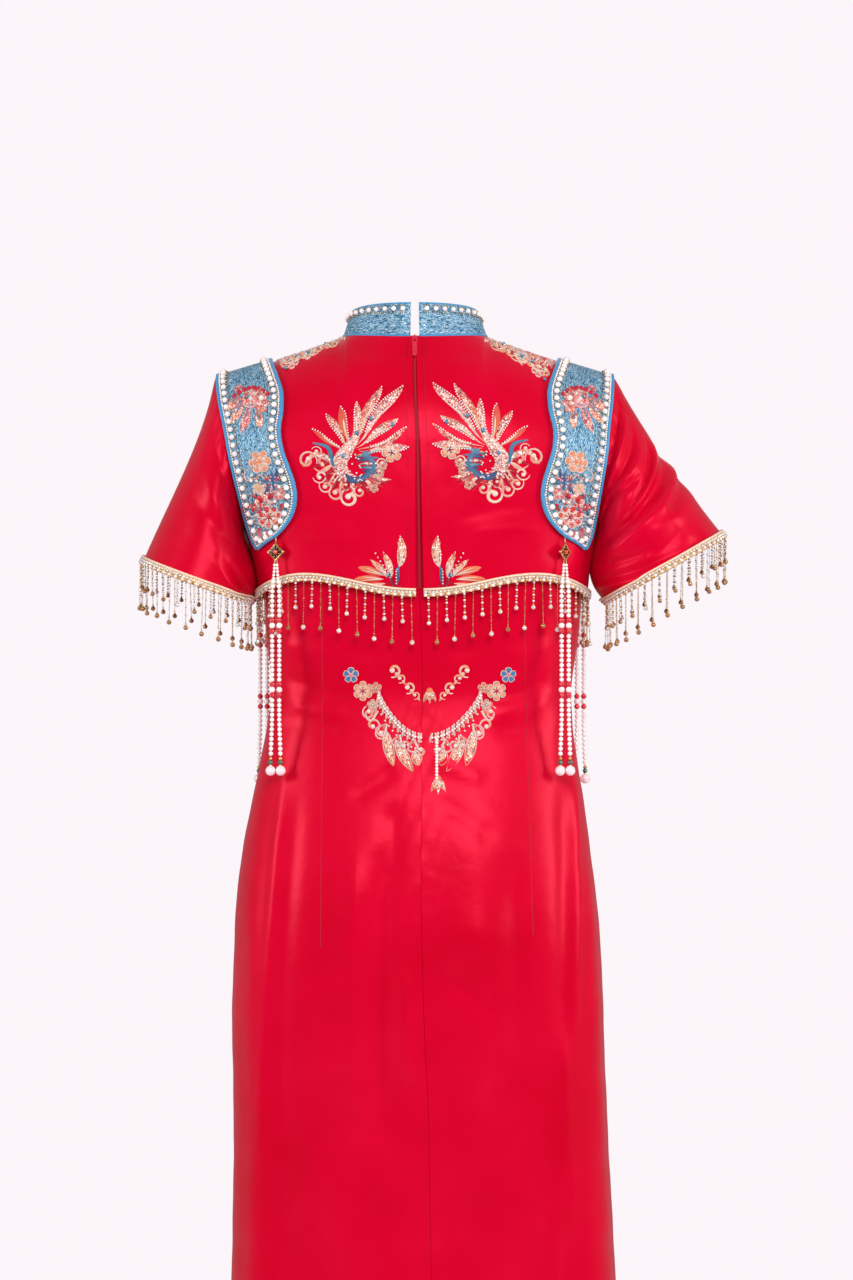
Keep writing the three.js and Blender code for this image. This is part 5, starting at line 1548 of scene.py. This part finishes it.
def plaque_outline(half, bow=0.42, steps=6):
    """The outline of a curved-sided diamond, as across and up from its middle."""
    corners = np.array([(0, half), (half, 0), (0, -half), (-half, 0)], float)
    t = np.linspace(0, 1, steps + 1)[:-1, None]
    sides = [(1 - t) ** 2 * a + 2 * t * (1 - t) * (a + b) * bow + t * t * b
             for a, b in zip(corners, np.roll(corners, -1, 0))]
    return np.concatenate(sides)


def circle(radius, count, start=0):
    """Places on a circle, as across and up from its middle."""
    a = np.radians(start + 360 / count * np.arange(count))
    return radius * np.stack([np.cos(a), np.sin(a)], axis=1)


def plaque(name, turn, centre):
    """A gilt tray holding black enamel and a coral cabochon, the same on both sides."""
    aside = np.array([math.cos(math.radians(turn)), -math.sin(math.radians(turn)), 0])
    facing = np.array([math.sin(math.radians(turn)), math.cos(math.radians(turn)), 0])

    def at(spots, depth):
        """Points for places across and up the plaque, out from its middle by a depth."""
        spots = np.asarray(spots, float)
        return centre + spots[:, :1] * aside + spots[:, 1:] * np.array([0, 0, 1]) + depth * facing

    half = TASSEL["plaque"] / 2
    thick = TASSEL["plaque_thickness"] / 2
    levels = [(half - 2.2, 0.6 - thick), (half - 1.9, -thick), (half - 1.0, -thick), (half, 0.5 - thick),
              (half, thick - 0.5), (half - 1.0, thick), (half - 1.9, thick), (half - 2.2, thick - 0.6)]
    rings = np.array([at(plaque_outline(size), depth) for size, depth in levels])
    around = rings.shape[1]
    make_piece(f"{name}_gilt_tray", rings, grid_faces(len(levels), around, True), [GILT], ())
    for sign, label in ((1, "outer"), (-1, "inner")):
        rim = at(plaque_outline(half - 2.1), sign * (thick - 0.7))
        pad = at(plaque_outline(half - 5.0), sign * (thick - 0.35))
        middle = at([(0, 0)], sign * (thick - 0.3))
        faces = grid_faces(2, around, True).tolist()
        faces += [[around + k, around + (k + 1) % around, 2 * around] for k in range(around)]
        make_piece(f"{name}_enamel_{label}", np.concatenate([rim, pad, middle]), [f[::sign] for f in faces],
                   [BLACK_ENAMEL], ())
    for label, spots, depth, radius, material, shape in (
        ("cabochons", [(0, 0)], thick - 0.4, 2.6, CORAL_GLASS, bead_shape(14, 9)),
        ("gilt_petals", circle(4.6, 8, 22), thick - 0.25, 0.75, GILT, bead_shape()),
        ("coral_studs", circle(6.9, 4), thick - 0.2, 0.8, CORAL_GLASS, bead_shape()),
    ):
        both = np.concatenate([at(spots, depth), at(spots, -depth)])
        beads(f"{name}_{label}", both, radius, material, shape=shape)


def tassel(which):
    """A plaque on a cord, and two strings of pearls under it with red and gilt beads and end drops."""
    face, side, across, z, turn = TASSELS[which]
    point, _ = on_top(face, side * across, z, LAPPET["gap"] + LAPPET["thickness"] / 2)
    half = TASSEL["plaque"] / 2
    top = point[2] - SEAM_GAP
    middle = np.array([point[0], point[1] + face * 3, top - TASSEL["cord"] - half])
    name = f"tassel_{which}"
    plaque(name, turn, middle)
    foot = middle[2] - half
    made = {"pearls": [], "red_beads": [], "gilt_beads": [], "green_beads": [], "quartz_drops": []}
    threads = [[(point[0], point[1], top + 1.5), (point[0], point[1] + face * 2, top - 3),
                (middle[0], middle[1], middle[2] + half - 1)]]
    for way in (-1, 1):
        def spot(along):
            spread = lerp(1.2, TASSEL["apart"] - 0.4, smooth(along / 34))
            spread += (TASSEL["end_apart"] - TASSEL["apart"]) * smooth((along - 150) / 55)
            return (middle[0] + way * spread, middle[1], foot - along)

        def thread_on(kind, along, radius):
            made[kind].append((spot(along), radius))

        threads.append([spot(a) for a in np.linspace(-2, 200, 40)])
        along = 3.0
        while along < TASSEL["strung"]:
            group = [along - start for start in TASSEL["groups"] if 0 <= along - start < TASSEL["group"]]
            if group and 4.2 < group[0] < 8.8:
                thread_on("pearls", along, 3.2)
                thread_on("gilt_beads", along - 3.1, 1.5)
                along += 5.4
            elif group:
                thread_on("red_beads", along, 3.0)
                along += 5.3
            else:
                size = 1.6 if along < 18 else 2.35
                thread_on("pearls", along, size)
                along += 2 * size + 0.15
        thread_on("gilt_beads", 197.6, 2.0)
        thread_on("green_beads", 201.4, 2.6)
        thread_on("gilt_beads", 204.6, 1.6)
        thread_on("quartz_drops", 209.6, 5.2)
    for kind, material in zip(made, (PEARL, RED_GLASS, GILT, GREEN_GLASS, ROSE_QUARTZ)):
        shape = bead_shape(14, 10) if kind == "quartz_drops" else bead_shape()
        spots, radii = zip(*made[kind])
        stands_for = (name,) if kind == "pearls" else ()
        beads(f"{name}_{kind}", spots, radii, material, "pearl_strings", shape, stands_for)
    cords(f"{name}_threads", [np.array(t) for t in threads], 0.5, GIMP, 5)


# ---------------------------------------------------------------- sewing
def stitches(name, line, length=2.4, pitch=3.4, radius=0.28):
    """A row of short stitches lying on the cloth along a line of points and normals."""
    points, normals = line
    spots = spaced(np.concatenate([points, normals], axis=1), pitch, start=0.0)
    ahead = spaced(np.concatenate([points, normals], axis=1), pitch, start=length / pitch)
    paths = []
    for a, b in zip(spots, ahead):
        middle = (a[:3] + b[:3]) / 2 + (a[3:] + b[3:]) * 0.5 * radius
        paths.append(np.array([a[:3] - a[3:] * 0.15, middle, b[:3] - b[3:] * 0.15]))
    return cords(name, paths, radius, SEWING_THREAD_AND_SEAM_SHADE, 5)


# Along the back: across at its top, across at its foot, top, foot
DARTS = {"left": (92.9, 93.2, -270, -619), "right": (-109.5, -117.7, -270, -609)}


def sewing():
    """Stitching beside the back opening and round the hem, and dark cords of painted shade along the two dart
    seams.
    """
    z = np.linspace(-14, -262, 120)
    for side in (1, -1):
        line = on_top(1, np.full_like(z, side * 7.4), z, 0.35)
        half = lerp(BACK_SLIT["neck"], BACK_SLIT["hem"], np.clip(z / TOP_HEM["centre"], 0, 1)) / 2
        line[0][:, 0] += side * half
        stitches(f"placket_stitching_{SIDES[side]}", line)
    for which, (x0, x1, top, foot) in DARTS.items():
        z = np.linspace(top, foot, 90)
        place = np.linspace(x0, x1, 90)
        points, _ = on_dress(1, place, z, crease_push(DRESS_CREASES, 1, place, z) - 0.12)
        # a dark cord sunk into the crease paints the shade in the dart's recess
        cords(f"dart_seam_shade_{which}", [points], 0.45, SEWING_THREAD_AND_SEAM_SHADE)
    for face in (1, -1):
        x = np.linspace(-198, 176, 260)
        line = on_dress(face, x, np.full_like(x, DRESS_HEM + HEM_STITCHED), 0.15)
        stitches(f"hem_stitching_{FACES[face]}", line, 1.6, 6.0, 0.24)


# ---------------------------------------------------------------- the garment
dress_panel("dress_back_left", 1, 1)
dress_panel("dress_back_right", 1, -1)
dress_panel("dress_front", -1, 0)
top_panel("top_back_left", 1, 1)
top_panel("top_back_right", 1, -1)
top_panel("top_front", -1, 0)
sleeve_piece("left")
sleeve_piece("right")
collar()
for flank, spray_reach in ((1, 15), (-1, 31)):
    lappet_piece(flank)
    for toward in (1, -1):
        shoulder_spray(flank, toward, spray_reach)
phoenix(1, (64, -119))
phoenix(-1, (70, -116))
for flank in (1, -1):
    leaf_sprig(flank, (26, -252))
garland()
top_fringe("fringe_back_left", 1, 1)
top_fringe("fringe_back_right", 1, -1)
top_fringe("fringe_front", -1, 0)
for arm in SLEEVES:
    sleeve_fringe(arm)
for hung in TASSELS:
    tassel(hung)
sewing()
for part, finish in (("zip_chain", SEWING_THREAD_AND_SEAM_SHADE), ("zip_slider", ENAMEL), ("zip_tab", ENAMEL)):
    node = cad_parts[part]
    node.data.materials.clear()
    node.data.materials.append(finish)

# ---------------------------------------------------------------- studio
scene = bpy.context.scene
scene.view_settings.view_transform = "Standard"
scene.view_settings.look = "None"
scene.render.film_transparent = False

world = bpy.data.worlds.new("studio")
world.use_nodes = True
sky = world.node_tree
# The paper behind the garment looks evenly white, and the room's own light on it is much lower.
room = sky.nodes["Background"]
room.inputs["Color"].default_value = rgba("#fbf4f8")
room.inputs["Strength"].default_value = 0.3
paper = add(sky, "ShaderNodeBackground", {"Color": rgba("#fcf5f9"), "Strength": 1.0})
looking = add(sky, "ShaderNodeLightPath")
either = add(sky, "ShaderNodeMixShader", {}, {
    0: looking.outputs["Is Camera Ray"], 1: room.outputs["Background"], 2: paper.outputs["Background"],
})
link(sky, sky.nodes["World Output"], {"Surface": either.outputs["Shader"]})
scene.world = world

FLOOR = dict(radius=2.15, height=-1.4, sides=96)
floor_mesh = bpy.data.meshes.new("studio_floor")
turns = np.linspace(0, 2 * math.pi, FLOOR["sides"] + 1)[:-1]
rim = [(FLOOR["radius"] * math.cos(a), FLOOR["radius"] * math.sin(a), FLOOR["height"]) for a in turns]
floor_mesh.from_pydata(rim, [], [list(range(FLOOR["sides"]))])
floor = bpy.data.objects.new("studio_floor", floor_mesh)
bpy.context.collection.objects.link(floor)
# Matt white vinyl, rolled out: even, with a faint mottling.
VINYL = mottled("matt_white_vinyl", [(0.3, "#e8e2e5"), (0.65, "#f1ecee")], 333.3, {"Roughness": 0.6})
floor_mesh.materials.append(VINYL)


def softbox(name, place, target, size, power):
    light = bpy.data.lights.new(name, "AREA")
    light.shape = "RECTANGLE"
    light.size, light.size_y = size
    light.energy = power
    lamp = bpy.data.objects.new(name, light)
    lamp.location = place
    lamp.rotation_euler = (Vector(target) - Vector(place)).to_track_quat("-Z", "Y").to_euler()
    bpy.context.collection.objects.link(lamp)


softbox("softbox_left", (2.6, 1.1, 0.3), (0, 0, -0.4), (0.8, 1.6), 38)
softbox("softbox_right", (-2.6, 1.0, 0.3), (0, 0, -0.4), (0.8, 1.6), 38)
softbox("softbox_above_camera", (-0.5, 3.0, 1.0), (0, 0, -0.3), (1.4, 1.1), 66)
softbox("softbox_front", (0.0, -3.0, 1.0), (0, 0, -0.4), (2.4, 2.4), 8)

AIM_UP = 1.106  # degrees
camera_data = bpy.data.cameras.new("camera")
camera_data.lens = 87.4
camera_data.sensor_width = 36
camera = bpy.data.objects.new("camera", camera_data)
camera.location = (-0.0118, 3.2, -0.373)
camera.rotation_euler = (math.radians(90 + AIM_UP), 0, math.pi)
bpy.context.collection.objects.link(camera)
scene.camera = camera
